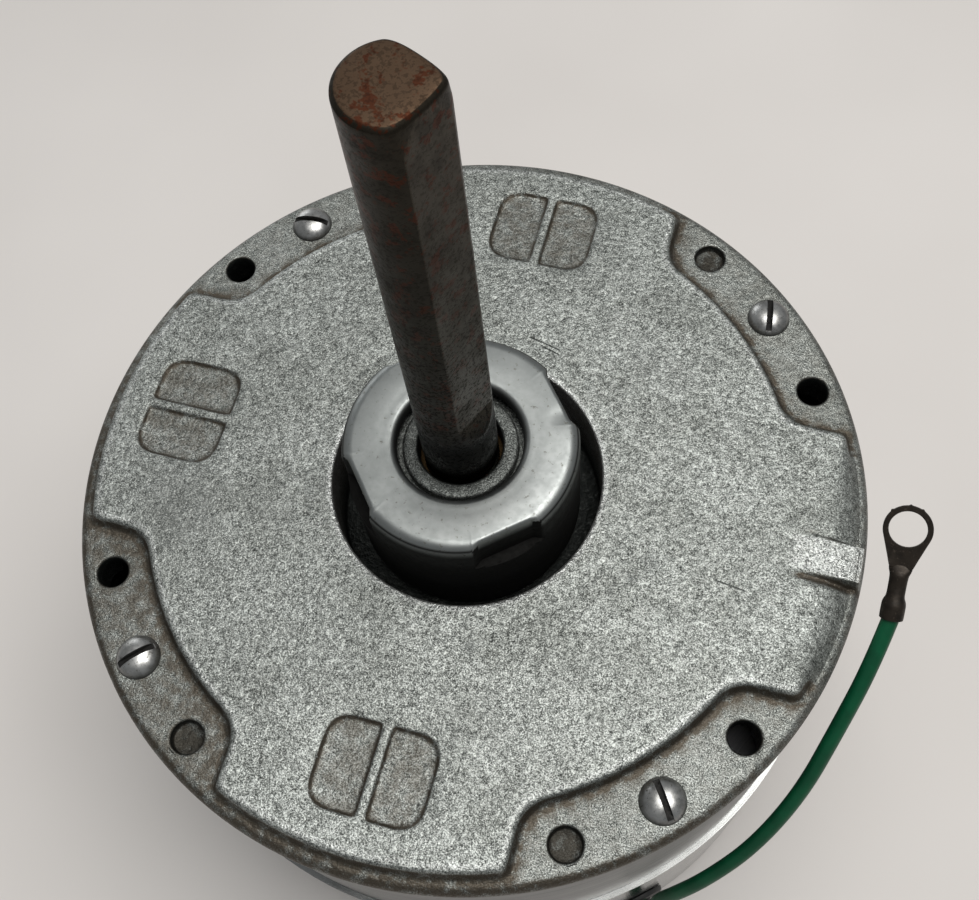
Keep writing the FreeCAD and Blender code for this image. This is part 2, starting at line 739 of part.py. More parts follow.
def terminal_frame():
    """Axis of the ring terminal, its flat side's normal, and the lead's end."""
    along = Vector(-1.1, 11.85, 9.0).normalize()
    toward = Vector(-0.162, -0.399, 0.903)
    normal = (toward - along * toward.dot(along)).normalize()
    return Vector(*lead_route[-1]), along, normal


def ring_terminal():
    """Crimp terminal: bell and barrel around the lead, a tapering neck and a flat ring."""
    start, along, normal = terminal_frame()
    across = normal.cross(along)
    bell = Part.makeCylinder(bell_radius, bell_length, Vector(0, 0, -0.6))
    barrel = Part.makeCone(bell_radius, barrel_radius, 1.2, Vector(0, 0, bell_length - 0.6))
    crimp = Part.makeCylinder(barrel_radius, barrel_length, Vector(0, 0, bell_length + 0.6))
    neck_start, neck_end = bell_length + 0.6 + barrel_length - 1.0, ring_distance - ring_hole - 0.4
    half = ring_plate / 2
    outline = [Vector(-barrel_radius * 0.95, -half, neck_start), Vector(barrel_radius * 0.95, -half, neck_start),
               Vector(barrel_radius * 1.5, -half, neck_end), Vector(-barrel_radius * 1.5, -half, neck_end)]
    neck = Part.Face(Part.makePolygon(outline + outline[:1])).extrude(Vector(0, ring_plate, 0))
    eye = Part.makeCylinder(ring_radius, ring_plate, Vector(0, -half, ring_distance), Vector(0, 1, 0))
    hole = Part.makeCylinder(ring_hole, 4, Vector(0, -2, ring_distance), Vector(0, 1, 0))
    socket = Part.makeCylinder(lead_radius + 0.03, 1.6, Vector(0, 0, -1.6))
    terminal = joined([bell, barrel, crimp, neck, eye]).cut([hole, socket])
    place = FreeCAD.Matrix(across.x, normal.x, along.x, start.x,
                           across.y, normal.y, along.y, start.y,
                           across.z, normal.z, along.z, start.z, 0, 0, 0, 1)
    return placed(terminal, place)


def placed(solid, matrix):
    """Copy moved by a rotation and a shift."""
    copy = solid.copy()
    copy.Placement = FreeCAD.Placement(matrix)
    return copy


def ground_lead():
    return tube_along(lead_route, lead_radius, "ground_lead")


nodes = {
    "drive_end_shield": drive_end_shield,
    "rear_end_shield": rear_end_shield,
    "shell": shell,
    "drive_bearing_cap": drive_bearing_cap,
    "rear_bearing_cap": rear_bearing_cap,
    "drive_bearing": lambda: sleeve(drive_bearing_end, drive_bearing_top),
    "rear_bearing": lambda: sleeve(rear_bearing_bottom, rear_bearing_end),
    "drive_oil_wick": lambda: wick(*drive_wick_span),
    "rear_oil_wick": lambda: wick(*rear_wick_span),
    "drive_wick_retainer": lambda: wick_retainer(well_floor - 1.0),
    "rear_wick_retainer": lambda: wick_retainer(rear_well[1]),
    "through_bolts": through_bolts,
    "stator_core": stator_core,
    "slot_liners": slot_liners,
    "slot_wedges": slot_wedges,
    "main_winding": main_winding,
    "auxiliary_winding": auxiliary_winding,
    "winding_lacing": winding_lacing,
    "thermal_protector": thermal_protector,
    "shaft": shaft,
    "rotor_core": rotor_core,
    "rotor_cage": rotor_cage,
    "drive_thrust_washer": lambda: thrust_washer(drive_levels, -1),
    "rear_thrust_washer": lambda: thrust_washer(rear_levels, 1),
    "drive_oil_slinger": lambda: slinger(drive_levels, -1),
    "rear_oil_slinger": lambda: slinger(rear_levels, 1),
    "retaining_rings": retaining_rings,
    "lead_grommet": lead_grommet,
    "ground_lead_tail": ground_lead_tail,
    "ground_eyelet": ground_eyelet,
    "ground_screw": ground_screw,
    "ground_lead": ground_lead,
    "ring_terminal": ring_terminal,
}

os.makedirs("parts", exist_ok=True)
for name, make in nodes.items():
    shape = make()
    print(name, "solids", len(shape.Solids), "valid", shape.isValid(), "volume %.1f" % shape.Volume)
    shape.exportStep("parts/%s.step" % name)
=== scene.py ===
import json
import logging
import math
from dataclasses import dataclass, field
from enum import Enum
from functools import cache
from typing import Callable, Sequence

import bmesh
import bpy
import numpy as np
from mathutils import Matrix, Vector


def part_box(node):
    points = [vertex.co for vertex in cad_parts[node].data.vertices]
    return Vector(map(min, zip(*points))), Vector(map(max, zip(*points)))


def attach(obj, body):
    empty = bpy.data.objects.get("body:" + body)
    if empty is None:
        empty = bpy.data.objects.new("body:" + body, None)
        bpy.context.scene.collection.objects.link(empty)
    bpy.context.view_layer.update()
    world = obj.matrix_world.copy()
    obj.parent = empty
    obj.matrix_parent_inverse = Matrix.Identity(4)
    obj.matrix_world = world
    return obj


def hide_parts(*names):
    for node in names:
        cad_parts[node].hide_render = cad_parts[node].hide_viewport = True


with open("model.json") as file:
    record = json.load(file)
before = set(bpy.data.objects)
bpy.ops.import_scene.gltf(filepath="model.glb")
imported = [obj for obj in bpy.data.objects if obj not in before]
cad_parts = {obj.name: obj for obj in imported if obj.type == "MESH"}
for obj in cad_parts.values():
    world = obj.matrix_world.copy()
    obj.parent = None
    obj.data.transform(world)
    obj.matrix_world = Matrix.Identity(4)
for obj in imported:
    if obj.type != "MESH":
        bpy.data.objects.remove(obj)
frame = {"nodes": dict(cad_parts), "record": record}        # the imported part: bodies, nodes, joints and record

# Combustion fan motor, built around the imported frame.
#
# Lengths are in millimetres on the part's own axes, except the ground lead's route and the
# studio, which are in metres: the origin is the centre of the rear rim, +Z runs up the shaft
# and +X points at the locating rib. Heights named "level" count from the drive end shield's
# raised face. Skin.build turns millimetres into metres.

log = logging.getLogger("motor")

Array = np.ndarray
Socket = bpy.types.NodeSocket
Colour = tuple[float, float, float]
Profile = Sequence[tuple[float, float]]

MM = 0.001
NOSE_RISE = 13.0         # hub nose above the raised face
KEYS_PER_MM = 5000       # points closer than 1/5000 mm are one vertex
KEY_BITS = 21            # bits of one coordinate in a vertex key
HALVINGS = 40            # steps of a search by halving


class Body(Enum):
    """Bodies of the frame that a piece can ride on."""

    STATOR = "stator"
    ROTOR = "rotor"


class Grain(Enum):
    """Direction of the fine lines that turning, rolling or stacking leaves on a metal."""

    NONE = "none"
    AROUND = "around"
    ALONG = "along"


# ---- measures of the frame -----------------------------------------------------------------
def corners(node: str) -> tuple[Array, Array]:
    """Lowest and highest corner of a CAD node at rest.

    Args:
        node: name of the CAD node.

    Returns:
        The two corners in millimetres.
    """
    low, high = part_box(node)
    return np.array(low) / MM, np.array(high) / MM


FACE = float(corners("drive_end_shield")[1][2]) - NOSE_RISE
FLANGE = float(corners("drive_end_shield")[1][0])


# ---- shapes on grids -----------------------------------------------------------------------
def smoothstep(low: float, high: float, value: Array) -> Array:
    """Rise from 0 at low to 1 at high along 3t^2 - 2t^3."""
    t = np.clip((value - low) / (high - low), 0.0, 1.0)
    return t * t * (3.0 - 2.0 * t)


def rounded_min(first: Array, second: Array, radius: Array | float) -> Array:
    """Smaller of two depths, with the corner between them rounded.

    Formula: min(a, b) - max(radius - |a - b|, 0)^2 / (4 radius).

    Args:
        first: depth inside one boundary.
        second: depth inside the other boundary.
        radius: size of the rounded corner.

    Returns:
        The joined depth.
    """
    least = np.minimum(first, second)
    gap = np.maximum(radius - np.abs(first - second), 0.0)
    return least - gap ** 2 / (4 * np.maximum(radius, 1e-9))


def radius_where(
    field_at: Callable[[Array, Array], Array],
    centre: tuple[float, float],
    angles: Array,
    level: float,
    near: float,
    far: float,
) -> Array:
    """Distance along each ray at which a rising function of (x, y) reaches a level.

    Formula: the span between near and far is halved, and the half that holds the level is kept.

    Args:
        field_at: function of x and y that rises along every ray.
        centre: start of the rays.
        angles: directions of the rays in radians.
        level: value to find.
        near: distance at which the function is under the level.
        far: distance at which it is over.

    Returns:
        One distance for each ray.
    """
    low, high = np.full(angles.shape, near), np.full(angles.shape, far)
    for _ in range(HALVINGS):
        middle = (low + high) / 2
        x = centre[0] + middle * np.cos(angles)
        y = centre[1] + middle * np.sin(angles)
        under = field_at(x, y) < level
        low, high = np.where(under, middle, low), np.where(under, high, middle)
    return (low + high) / 2


def ring_of(angles: Array, radius: Array | float, height: Array | float) -> Array:
    """Points (r cos a, r sin a, h), with the three spread over each other's shapes.

    Args:
        angles: angles in radians.
        radius: one radius, one for each angle, or a grid of rows by angles.
        height: one height, one for each angle, or a column of one for each row.

    Returns:
        Array of shape (angles, 3) or (rows, angles, 3).
    """
    a, r, h = np.broadcast_arrays(angles, radius, height)
    return np.stack([r * np.cos(a), r * np.sin(a), h], axis=-1)


def turn_from(middle: float, angles: Array) -> Array:
    """Turn from a middle direction in degrees to each angle, within half a turn of it."""
    return (angles - math.radians(middle) + math.pi) % (2 * math.pi) - math.pi


def at_level(centre: Array, level: float) -> Array:
    """Point over a centre (x, y) at a level."""
    return np.array([*centre, level])


def turned(profile: Profile, count: int) -> Array:
    """Surface of revolution: point (i, j) is profile point i at the angle 2 pi j / count.

    Args:
        profile: (radius, height) points.
        count: steps around the axis.

    Returns:
        Grid of shape (profile, count + 1, 3), whose last column repeats the first.
    """
    angles = np.linspace(0.0, 2.0 * math.pi, count + 1)
    angles[-1] = angles[0]
    r, h = np.array(profile, float).T
    return ring_of(angles, r[:, None], h[:, None])


def arc(centre: tuple[float, float], radius: float, start: float, end: float,
        steps: int) -> list[tuple[float, float]]:
    """Points of a circular arc in the (radius, height) plane, angles in degrees."""
    turn = np.radians(np.linspace(start, end, steps + 1))
    return list(zip(centre[0] + radius * np.cos(turn), centre[1] + radius * np.sin(turn)))


def softened(profile: Profile, radius: float, steps: int = 3) -> list[tuple[float, float]]:
    """Closed outline with each corner replaced by a short curve.

    Formula: the quadratic curve from a point before the corner to a point after it, at the
    distance radius or 0.45 of the shorter side, with the corner as its middle control point.

    Args:
        profile: corners of the closed outline.
        radius: distance from a corner to the ends of its curve.
        steps: pieces of each curve.

    Returns:
        Closed outline whose last point repeats the first.
    """
    p = np.array(profile, float)
    back, ahead = np.roll(p, 1, axis=0) - p, np.roll(p, -1, axis=0) - p
    lengths = np.minimum(np.hypot(*back.T), np.hypot(*ahead.T))
    cut = np.minimum(radius, 0.45 * lengths)[:, None]
    first = p + back / np.hypot(*back.T)[:, None] * cut
    last = p + ahead / np.hypot(*ahead.T)[:, None] * cut
    t = np.linspace(0.0, 1.0, steps + 1)[None, :, None]
    curve = first[:, None] * (1 - t) ** 2 + p[:, None] * 2 * t * (1 - t) + last[:, None] * t * t
    points = curve.reshape(-1, 2)
    return [tuple(q) for q in np.vstack([points, points[:1]])]


@dataclass
class Skin:
    """Closed surface gathered from grids whose shared borders hold the same points."""

    name: str
    quads: list[Array] = field(default_factory=list)

    def grid(self, points: Array, keep: Array | None = None) -> None:
        """Adds the quads of one grid; quad (i, j) joins rows i, i + 1 and columns j, j + 1.

        Args:
            points: array of shape (rows, columns, 3).
            keep: which quads to add, of shape (rows - 1, columns - 1); all if left out.
        """
        cells = np.stack([points[:-1, :-1], points[:-1, 1:], points[1:, 1:], points[1:, :-1]],
                         axis=2)
        self.quads.append(cells.reshape(-1, 4, 3) if keep is None else cells[keep])

    def build(self, sharp: float = 35.0) -> bpy.types.Object:
        """Joins equal points, turns collapsed quads into triangles and makes the object.

        Args:
            sharp: edges that bend more than this many degrees stay sharp.

        Returns:
            The object, at the origin, with smooth faces that point outwards.
        """
        points = np.concatenate(self.quads).reshape(-1, 3)
        shifted = np.round(points * KEYS_PER_MM).astype(np.int64) + (1 << KEY_BITS - 1)
        keys = (shifted[:, 0] << 2 * KEY_BITS) | (shifted[:, 1] << KEY_BITS) | shifted[:, 2]
        _, first, index = np.unique(keys, return_index=True, return_inverse=True)
        faces = index.reshape(-1, 4)
        same = faces == np.roll(faces, -1, axis=1)
        thin = same.sum(axis=1) == 1
        quads = faces[~same.any(axis=1)]
        triangles = faces[thin][~same[thin]].reshape(-1, 3)
        mesh = bpy.data.meshes.new(self.name)
        mesh.from_pydata((points[first] * MM).tolist(), [], quads.tolist() + triangles.tolist())
        mesh.validate()
        work = bmesh.new()
        work.from_mesh(mesh)
        bmesh.ops.recalc_face_normals(work, faces=work.faces)
        work.to_mesh(mesh)
        work.free()
        mesh.shade_smooth()
        mesh.set_sharp_from_angle(angle=math.radians(sharp))
        made = bpy.data.objects.new(self.name, mesh)
        bpy.context.scene.collection.objects.link(made)
        log.info("%s: %d faces", self.name, len(mesh.polygons))
        return made


def paint(piece: bpy.types.Object, name: str, value_at: Callable[[Array], Array]) -> None:
    """Stores a value for each vertex, worked out from its place in millimetres.

    Args:
        piece: object whose mesh takes the attribute.
        name: name of the attribute.
        value_at: function of the places, of shape (vertices, 3).
    """
    places = np.empty(len(piece.data.vertices) * 3, np.float32)
    piece.data.vertices.foreach_get("co", places)
    values = value_at(places.reshape(-1, 3).astype(float) / MM)
    layer = piece.data.attributes.new(name, "FLOAT", "POINT")
    layer.data.foreach_set("value", np.ascontiguousarray(values, np.float32))


# ---- finishes ------------------------------------------------------------------------------
class Shader:
    """Adds and joins the nodes of one material."""

    def __init__(self, name: str) -> None:
        """Starts an empty material with the part's own coordinates.

        Args:
            name: name of the material.
        """
        self.material = bpy.data.materials.new(name)
        self.material.use_nodes = True
        self.tree = self.material.node_tree
        self.tree.nodes.clear()
        self.place: Socket = self.tree.nodes.new("ShaderNodeTexCoord").outputs["Object"]

    def node(self, kind: str, options: dict[str, object] | None = None,
             **inputs: object) -> bpy.types.Node:
        """Adds a node.

        Args:
            kind: node type without the "ShaderNode" start.
            options: properties of the node.
            **inputs: sockets by name, with "_" for a space; a socket is joined, a value set.

        Returns:
            The node.
        """
        made = self.tree.nodes.new("ShaderNode" + kind)
        for name, value in (options or {}).items():
            setattr(made, name, value)
        for name, value in inputs.items():
            self.plug(made.inputs[name.replace("_", " ")], value)
        return made

    def plug(self, socket: Socket, value: object) -> None:
        """Joins a socket to another, or sets its value.

        Args:
            socket: input socket.
            value: output socket to join, or a number, colour or vector.
        """
        if isinstance(value, bpy.types.NodeSocket):
            self.tree.links.new(value, socket)
        elif isinstance(value, tuple) and len(value) == 3 and socket.type == "RGBA":
            socket.default_value = (*value, 1.0)
        else:
            socket.default_value = value

    def noise(self, size: float, detail: float = 2.0, roughness: float = 0.5,
              where: Socket | None = None) -> Socket:
        """Noise from 0 to 1 whose blotches are about size millimetres across."""
        return self.node("TexNoise", Vector=where or self.place, Scale=1.0 / (size * MM),
                         Detail=detail, Roughness=roughness).outputs["Fac"]

    def beads(self, size: float) -> Socket:
        """Rounded beads about size millimetres across, 0 at their centres."""
        return self.node("TexVoronoi", {"feature": "SMOOTH_F1"}, Vector=self.place,
                         Scale=1.0 / (size * MM), Smoothness=0.4).outputs["Distance"]

    def ramp(self, value: Socket, *stops: tuple[float, Colour]) -> Socket:
        """Colour ramp through stops.

        Args:
            value: place along the ramp.
            *stops: (place, colour) pairs in rising order.

        Returns:
            The colour.
        """
        made = self.node("ValToRGB", Fac=value)
        ends = made.color_ramp.elements
        while len(ends) < len(stops):
            ends.new(0.5)
        for end, (place, colour) in zip(ends, stops):
            end.position = place
            end.color = (*colour, 1.0)
        return made.outputs["Color"]

    def span(self, value: Socket, low: float, high: float, start: float = 0.0,
             end: float = 1.0) -> Socket:
        """Smooth rise or fall of a value.

        Args:
            value: number that is mapped.
            low: value that becomes start.
            high: value that becomes end.
            start: result up to low.
            end: result from high on.

        Returns:
            The mapped number.
        """
        made = self.node("MapRange", {"interpolation_type": "SMOOTHSTEP"}, Value=value)
        for name, number in (("From Min", low), ("From Max", high), ("To Min", start),
                             ("To Max", end)):
            made.inputs[name].default_value = number
        return made.outputs["Result"]

    def maths(self, operation: str, first: object, second: object = 0.0) -> Socket:
        """One sum on two numbers or sockets.

        Args:
            operation: name of the sum.
            first: first number.
            second: second number, unused by sums of one number.

        Returns:
            The result.
        """
        made = self.node("Math", {"operation": operation})
        self.plug(made.inputs[0], first)
        self.plug(made.inputs[1], second)
        return made.outputs[0]

    def mix(self, share: object, first: object, second: object, kind: str = "MIX") -> Socket:
        """Colour mix.

        Args:
            share: 0 for the first colour, 1 for the second.
            first: first colour.
            second: second colour.
            kind: way of mixing.

        Returns:
            The mixed colour.
        """
        made = self.node("Mix", {"data_type": "RGBA", "blend_type": kind})
        for socket, value in zip((made.inputs[0], made.inputs[6], made.inputs[7]),
                                 (share, first, second)):
            self.plug(socket, value)
        return made.outputs[2]

    def attribute(self, name: str) -> Socket:
        """Value stored on the piece's vertices."""
        return self.node("Attribute", {"attribute_name": name}).outputs["Fac"]

    def around(self) -> Socket:
        """Coordinates (turn, radius, height), with the turn as arc length at 60 mm.

        Returns:
            The coordinates in metres.
        """
        split = self.node("SeparateXYZ", Vector=self.place)
        turn = self.maths("ARCTAN2", split.outputs["Y"], split.outputs["X"])
        flat = self.node("CombineXYZ", X=split.outputs["X"], Y=split.outputs["Y"])
        radius = self.node("VectorMath", {"operation": "LENGTH"})
        self.tree.links.new(flat.outputs["Vector"], radius.inputs[0])
        return self.node("CombineXYZ", X=self.maths("MULTIPLY", turn, 60 * MM),
                         Y=radius.outputs["Value"], Z=split.outputs["Z"]).outputs["Vector"]

    def bump(self, height: Socket, depth: float) -> Socket:
        """Bump whose full height is depth millimetres."""
        return self.node("Bump", Height=height, Distance=depth * MM,
                         Strength=1.0).outputs["Normal"]

    def finish(self, **sockets: object) -> bpy.types.Material:
        """Adds the surface shader and the output.

        Args:
            **sockets: the shader's sockets by name, with "_" for a space.

        Returns:
            The finished material.
        """
        surface = self.node("BsdfPrincipled", **sockets)
        output = self.node("OutputMaterial")
        self.tree.links.new(surface.outputs[0], output.inputs["Surface"])
        return self.material


Place = tuple[float, float, float]


@dataclass(frozen=True)
class CastSkin:
    """Blasted aluminium die casting: pale beads, dark pores, brown stain in the corners and painted shade."""

    name: str
    pale: Colour = (0.50, 0.525, 0.50)
    mid: Colour = (0.185, 0.196, 0.184)
    pore: Colour = (0.022, 0.024, 0.022)
    # Brown stain colour, also used for painted shade on the shield's shaded sides.
    stain: Colour = (0.060, 0.048, 0.034)
    # Near-black colour for scratches and for painted shade in the recess, bore and holes.
    oil: Colour = (0.012, 0.014, 0.013)
    dull: Colour = (0.14, 0.145, 0.14)
    rubbed: Colour = (0.62, 0.63, 0.62)
    film: Colour = (0.05, 0.055, 0.055)
    metallic: float = 0.8
    scratches: tuple[tuple[Place, float, float], ...] = (
        ((6.6, 29.0, 106.0), -0.23, 3.4), ((7.9, 27.9, 106.0), -0.30, 2.2),
        ((-19.8, 25.4, 106.0), 0.75, 2.6), ((48.5, -8.5, 106.0), -0.12, 3.0))
    smudges: tuple[tuple[Place, float], ...] = (
        ((34.8, -8.3, 106.0), 2.8), ((9.3, -29.9, 106.0), 2.0), ((32.4, -11.6, 106.0), 1.5),
        ((29.2, -14.4, 106.0), 1.2))

    def scratch(self, s: Shader, place: Place, turn: float, half: float) -> Socket:
        """One scratch.

        Args:
            s: material under way.
            place: middle of the scratch.
            turn: its direction in radians.
            half: half its length.

        Returns:
            Its strength, from 0 to 1.
        """
        line = s.node("Mapping", {"vector_type": "TEXTURE"}, Vector=s.place,
                      Location=tuple(v * MM for v in place), Rotation=(0.0, 0.0, turn))
        split = s.node("SeparateXYZ", Vector=line.outputs["Vector"])
        aside = s.span(s.maths("ABSOLUTE", split.outputs["Y"]), 0.07 * MM, 0.24 * MM, 1.0, 0.0)
        ends = s.span(s.maths("ABSOLUTE", split.outputs["X"]), half * 0.8 * MM, half * MM,
                      0.85, 0.0)
        return s.maths("MULTIPLY", aside, ends)

    def smudge(self, s: Shader, place: Place, size: float, coarse: Socket) -> Socket:
        """One oily smudge.

        Args:
            s: material under way.
            place: middle of the smudge.
            size: its radius.
            coarse: noise that breaks it up.

        Returns:
            Its strength, from 0 to 1.
        """
        away = s.node("VectorMath", {"operation": "DISTANCE"})
        s.plug(away.inputs[0], s.place)
        away.inputs[1].default_value = tuple(v * MM for v in place)
        near = s.span(away.outputs["Value"], 0.0, size * MM, 0.65, 0.0)
        return s.maths("MULTIPLY", near, s.span(coarse, 0.3, 0.6))

    def material(self) -> bpy.types.Material:
        """Builds the material.

        Returns:
            The material.
        """
        s = Shader(self.name)
        grain = s.noise(0.24, 2.0, 0.75)
        coarse = s.noise(1.1, 2.0, 0.6)
        cloud = s.noise(11.0, 3.0, 0.55)
        patch = s.noise(34.0, 2.0, 0.5)
        shade = s.maths("ADD", s.maths("MULTIPLY", grain, 0.72), s.maths("MULTIPLY", coarse, 0.28))
        colour = s.ramp(shade, (0.36, self.pore), (0.49, self.mid), (0.63, self.pale))
        tint = s.ramp(cloud, (0.30, (0.80, 0.80, 0.79)), (0.62, (1.05, 1.05, 1.05)))
        colour = s.mix(1.0, colour, tint, "MULTIPLY")
        colour = s.mix(s.span(patch, 0.60, 0.74, 0.0, 0.28), colour, self.dull)
        broken = s.span(s.noise(2.2, 3.0, 0.7), 0.30, 0.62)
        # Stain and painted shade from the vertex attribute, broken up by noise.
        dirt_and_shade = s.maths("MULTIPLY", s.attribute("grime_and_shade"), s.maths("ADD", 0.35, broken))
        colour = s.mix(s.span(dirt_and_shade, 0.05, 1.0, 0.0, 0.93), colour, self.stain)
        worn = s.maths("MULTIPLY", s.attribute("wear"), s.span(grain, 0.35, 0.6))
        colour = s.mix(s.maths("MULTIPLY", worn, 0.75), colour, self.rubbed)
        # Near-black from the second vertex attribute: painted shade in the recess, bore and holes, and a darker
        # hub.
        oil_and_shade = s.maths("MULTIPLY", s.attribute("oil_and_shade"), s.span(coarse, 0.2, 0.5, 0.8, 1.0))
        colour = s.mix(oil_and_shade, colour, self.oil)
        for scratch in self.scratches:
            colour = s.mix(self.scratch(s, *scratch), colour, self.oil)
        for smudge in self.smudges:
            colour = s.mix(self.smudge(s, *smudge, coarse), colour, self.film)
        rough = s.span(grain, 0.35, 0.65, 0.54, 0.36)
        rough = s.maths("SUBTRACT", rough, s.maths("MULTIPLY", s.attribute("wear"), 0.16))
        height = s.maths("ADD", s.maths("MULTIPLY", s.beads(0.75), -0.6),
                         s.maths("ADD", s.maths("MULTIPLY", grain, 0.8), coarse))
        return s.finish(Base_Color=colour, Metallic=self.metallic, Roughness=rough,
                        Normal=s.bump(height, 0.13))


@dataclass(frozen=True)
class Metal:
    """Bare or plated metal with grain, stain, specks and, when set, near-black painted shade and dirt from a
    vertex attribute.
    """

    name: str
    base: Colour
    dark: Colour
    roughness: float = 0.3
    spread: float = 0.1
    metallic: float = 1.0
    grain: Grain = Grain.NONE
    pitch: float = 0.35
    relief: float = 0.004
    stain: float = 0.25
    stain_size: float = 6.0
    specks: float = 0.0
    speck_colour: Colour = (0.05, 0.03, 0.02)
    speck_size: float = 0.8
    # When set, near-black painted shade and dirt come from the vertex attribute.
    painted_shade_and_dirt: bool = False
    shade_and_dirt_colour: Colour = (0.009, 0.0085, 0.008)

    def material(self) -> bpy.types.Material:
        """Builds the material.

        Returns:
            The material.
        """
        s = Shader(self.name)
        where = s.place if self.grain is Grain.NONE else s.around()
        scale = {Grain.NONE: (1.0, 1.0, 1.0), Grain.AROUND: (0.02, 1.0, 1.0),
                 Grain.ALONG: (1.0, 1.0, 0.02)}[self.grain]
        lines = s.noise(self.pitch, 2.0, 0.6, s.node("Mapping", Vector=where,
                                                     Scale=scale).outputs["Vector"])
        cloud = s.noise(self.stain_size, 4.0, 0.6)
        share = s.maths("MULTIPLY", s.span(cloud, 0.35, 0.7), self.stain)
        colour = s.mix(share, self.base, self.dark)
        colour = s.mix(s.span(lines, 0.3, 0.7, 0.0, 0.22), colour, self.dark)
        rough = s.span(lines, 0.3, 0.7, self.roughness - self.spread / 2,
                       self.roughness + self.spread / 2)
        if self.specks > 0:
            spots = s.noise(self.speck_size, 3.0, 0.7)
            spot = s.span(spots, 0.62 - 0.10 * self.specks, 0.70 - 0.06 * self.specks)
            spot = s.maths("MULTIPLY", spot, min(1.0, 0.5 + self.specks / 2))
            colour = s.mix(spot, colour, self.speck_colour)
            rough = s.maths("ADD", rough, s.maths("MULTIPLY", spot, 0.22))
        # Painted shade and dirt, near-black, from the vertex attribute.
        if self.painted_shade_and_dirt:
            dirt_and_shade = s.attribute("grime_and_shade")
            colour = s.mix(s.maths("MULTIPLY", dirt_and_shade, 0.98), colour, self.shade_and_dirt_colour)
            rough = s.maths("ADD", rough, s.maths("MULTIPLY", dirt_and_shade, 0.30))
        return s.finish(Base_Color=colour, Metallic=self.metallic, Roughness=rough,
                        Normal=s.bump(lines, self.relief))


@dataclass(frozen=True)
class ShaftSteel:
    """Ground shaft: brown haze and rust specks above, a dark oiled band near the bearing."""

    name: str = "shaft_steel"
    round_colour: Colour = (0.028, 0.024, 0.018)
    flat_colour: Colour = (0.052, 0.044, 0.034)
    tip_colour: Colour = (0.078, 0.050, 0.032)
    oil_colour: Colour = (0.0012, 0.0016, 0.0015)
    haze: Colour = (0.020, 0.017, 0.013)
    pit_colour: Colour = (0.012, 0.010, 0.008)
    rust: Colour = (0.060, 0.016, 0.007)
    oil_top: float = 133.0
    tip: float = 207.0

    def material(self) -> bpy.types.Material:
        """Builds the material.

        Returns:
            The material.
        """
        s = Shader(self.name)
        height = s.maths("DIVIDE", s.node("SeparateXYZ", Vector=s.place).outputs["Z"], MM)
        lines = s.noise(0.30, 2.0, 0.6, s.node("Mapping", Vector=s.around(),
                                               Scale=(0.05, 1.0, 1.0)).outputs["Vector"])
        cloud = s.noise(5.0, 4.0, 0.65)
        pits = s.noise(0.62, 3.0, 0.75)
        flat = s.attribute("flat")
        colour = s.mix(flat, self.round_colour, self.flat_colour)
        colour = s.mix(s.span(cloud, 0.40, 0.70, 0.0, 0.55), colour, self.haze)
        colour = s.mix(s.span(height, self.tip - 0.12, self.tip - 0.04), colour,
                       self.tip_colour)
        blush = s.maths("MULTIPLY", s.span(s.noise(2.4, 3.0, 0.75), 0.54, 0.62), 0.80)
        colour = s.mix(blush, colour, self.rust)
        low = s.span(height, 118.0, 200.0, 1.0, 0.35)
        spot = s.maths("MULTIPLY", s.span(pits, 0.50, 0.57), low)
        colour = s.mix(s.maths("MULTIPLY", spot, 0.85), colour, self.pit_colour)
        edge = s.maths("ADD", height, s.maths("MULTIPLY", s.noise(4.0, 3.0, 0.6), 3.0))
        oiled = s.span(edge, self.oil_top - 1.5, self.oil_top + 5.0, 1.0, 0.0)
        colour = s.mix(s.maths("MULTIPLY", oiled, 0.93), colour, self.oil_colour)
        rough = s.maths("ADD", s.span(cloud, 0.3, 0.7, 0.34, 0.50),
                        s.maths("MULTIPLY", spot, 0.25))
        rough = s.maths("SUBTRACT", rough, s.maths("MULTIPLY", oiled, 0.12))
        rough = s.maths("ADD", rough, s.span(height, self.tip - 0.9, self.tip - 0.1, 0.0, 0.2))
        normal = s.bump(s.maths("SUBTRACT", s.maths("MULTIPLY", lines, 0.4), spot), 0.012)
        return s.finish(Base_Color=colour, Metallic=1.0, Roughness=rough, Normal=normal)


@dataclass(frozen=True)
class Moulded:
    """Plastic, rubber, enamel or film with soft mottling and fine scuffs."""

    name: str
    base: Colour
    dark: Colour
    roughness: float = 0.45
    coat: float = 0.0
    size: float = 4.0
    relief: float = 0.01
    sheen: float = 0.5

    def material(self) -> bpy.types.Material:
        """Builds the material.

        Returns:
            The material.
        """
        s = Shader(self.name)
        cloud, fine = s.noise(self.size, 3.0, 0.6), s.noise(0.25, 2.0, 0.6)
        colour = s.mix(s.span(cloud, 0.3, 0.7, 0.0, 0.8), self.base, self.dark)
        rough = s.span(fine, 0.3, 0.7, self.roughness - 0.06, self.roughness + 0.08)
        return s.finish(Base_Color=colour, Roughness=rough, Coat_Weight=self.coat,
                        Coat_Roughness=0.2, Specular_IOR_Level=self.sheen,
                        Normal=s.bump(fine, self.relief))


@dataclass(frozen=True)
class WoundWire:
    """Bundles of enamelled wire: bright strands with dark gaps, laid around or along the axis."""

    name: str = "enamelled_copper"
    bright: Colour = (0.66, 0.24, 0.07)
    gap: Colour = (0.10, 0.028, 0.010)
    haze: Colour = (0.36, 0.12, 0.04)
    strand: float = 0.9

    def material(self) -> bpy.types.Material:
        """Builds the material.

        Returns:
            The material.
        """
        s = Shader(self.name)
        ground = s.around()
        strands = s.noise(self.strand * 0.8, 1.0, 0.4, s.node(
            "Mapping", Vector=ground, Scale=(0.04, 1.0, 1.0)).outputs["Vector"])
        colour = s.ramp(strands, (0.36, self.gap), (0.52, self.bright))
        colour = s.mix(s.span(s.noise(9.0), 0.35, 0.7, 0.0, 0.35), colour, self.haze)
        return s.finish(Base_Color=colour, Metallic=0.85, Roughness=0.34,
                        Normal=s.bump(strands, 0.25))


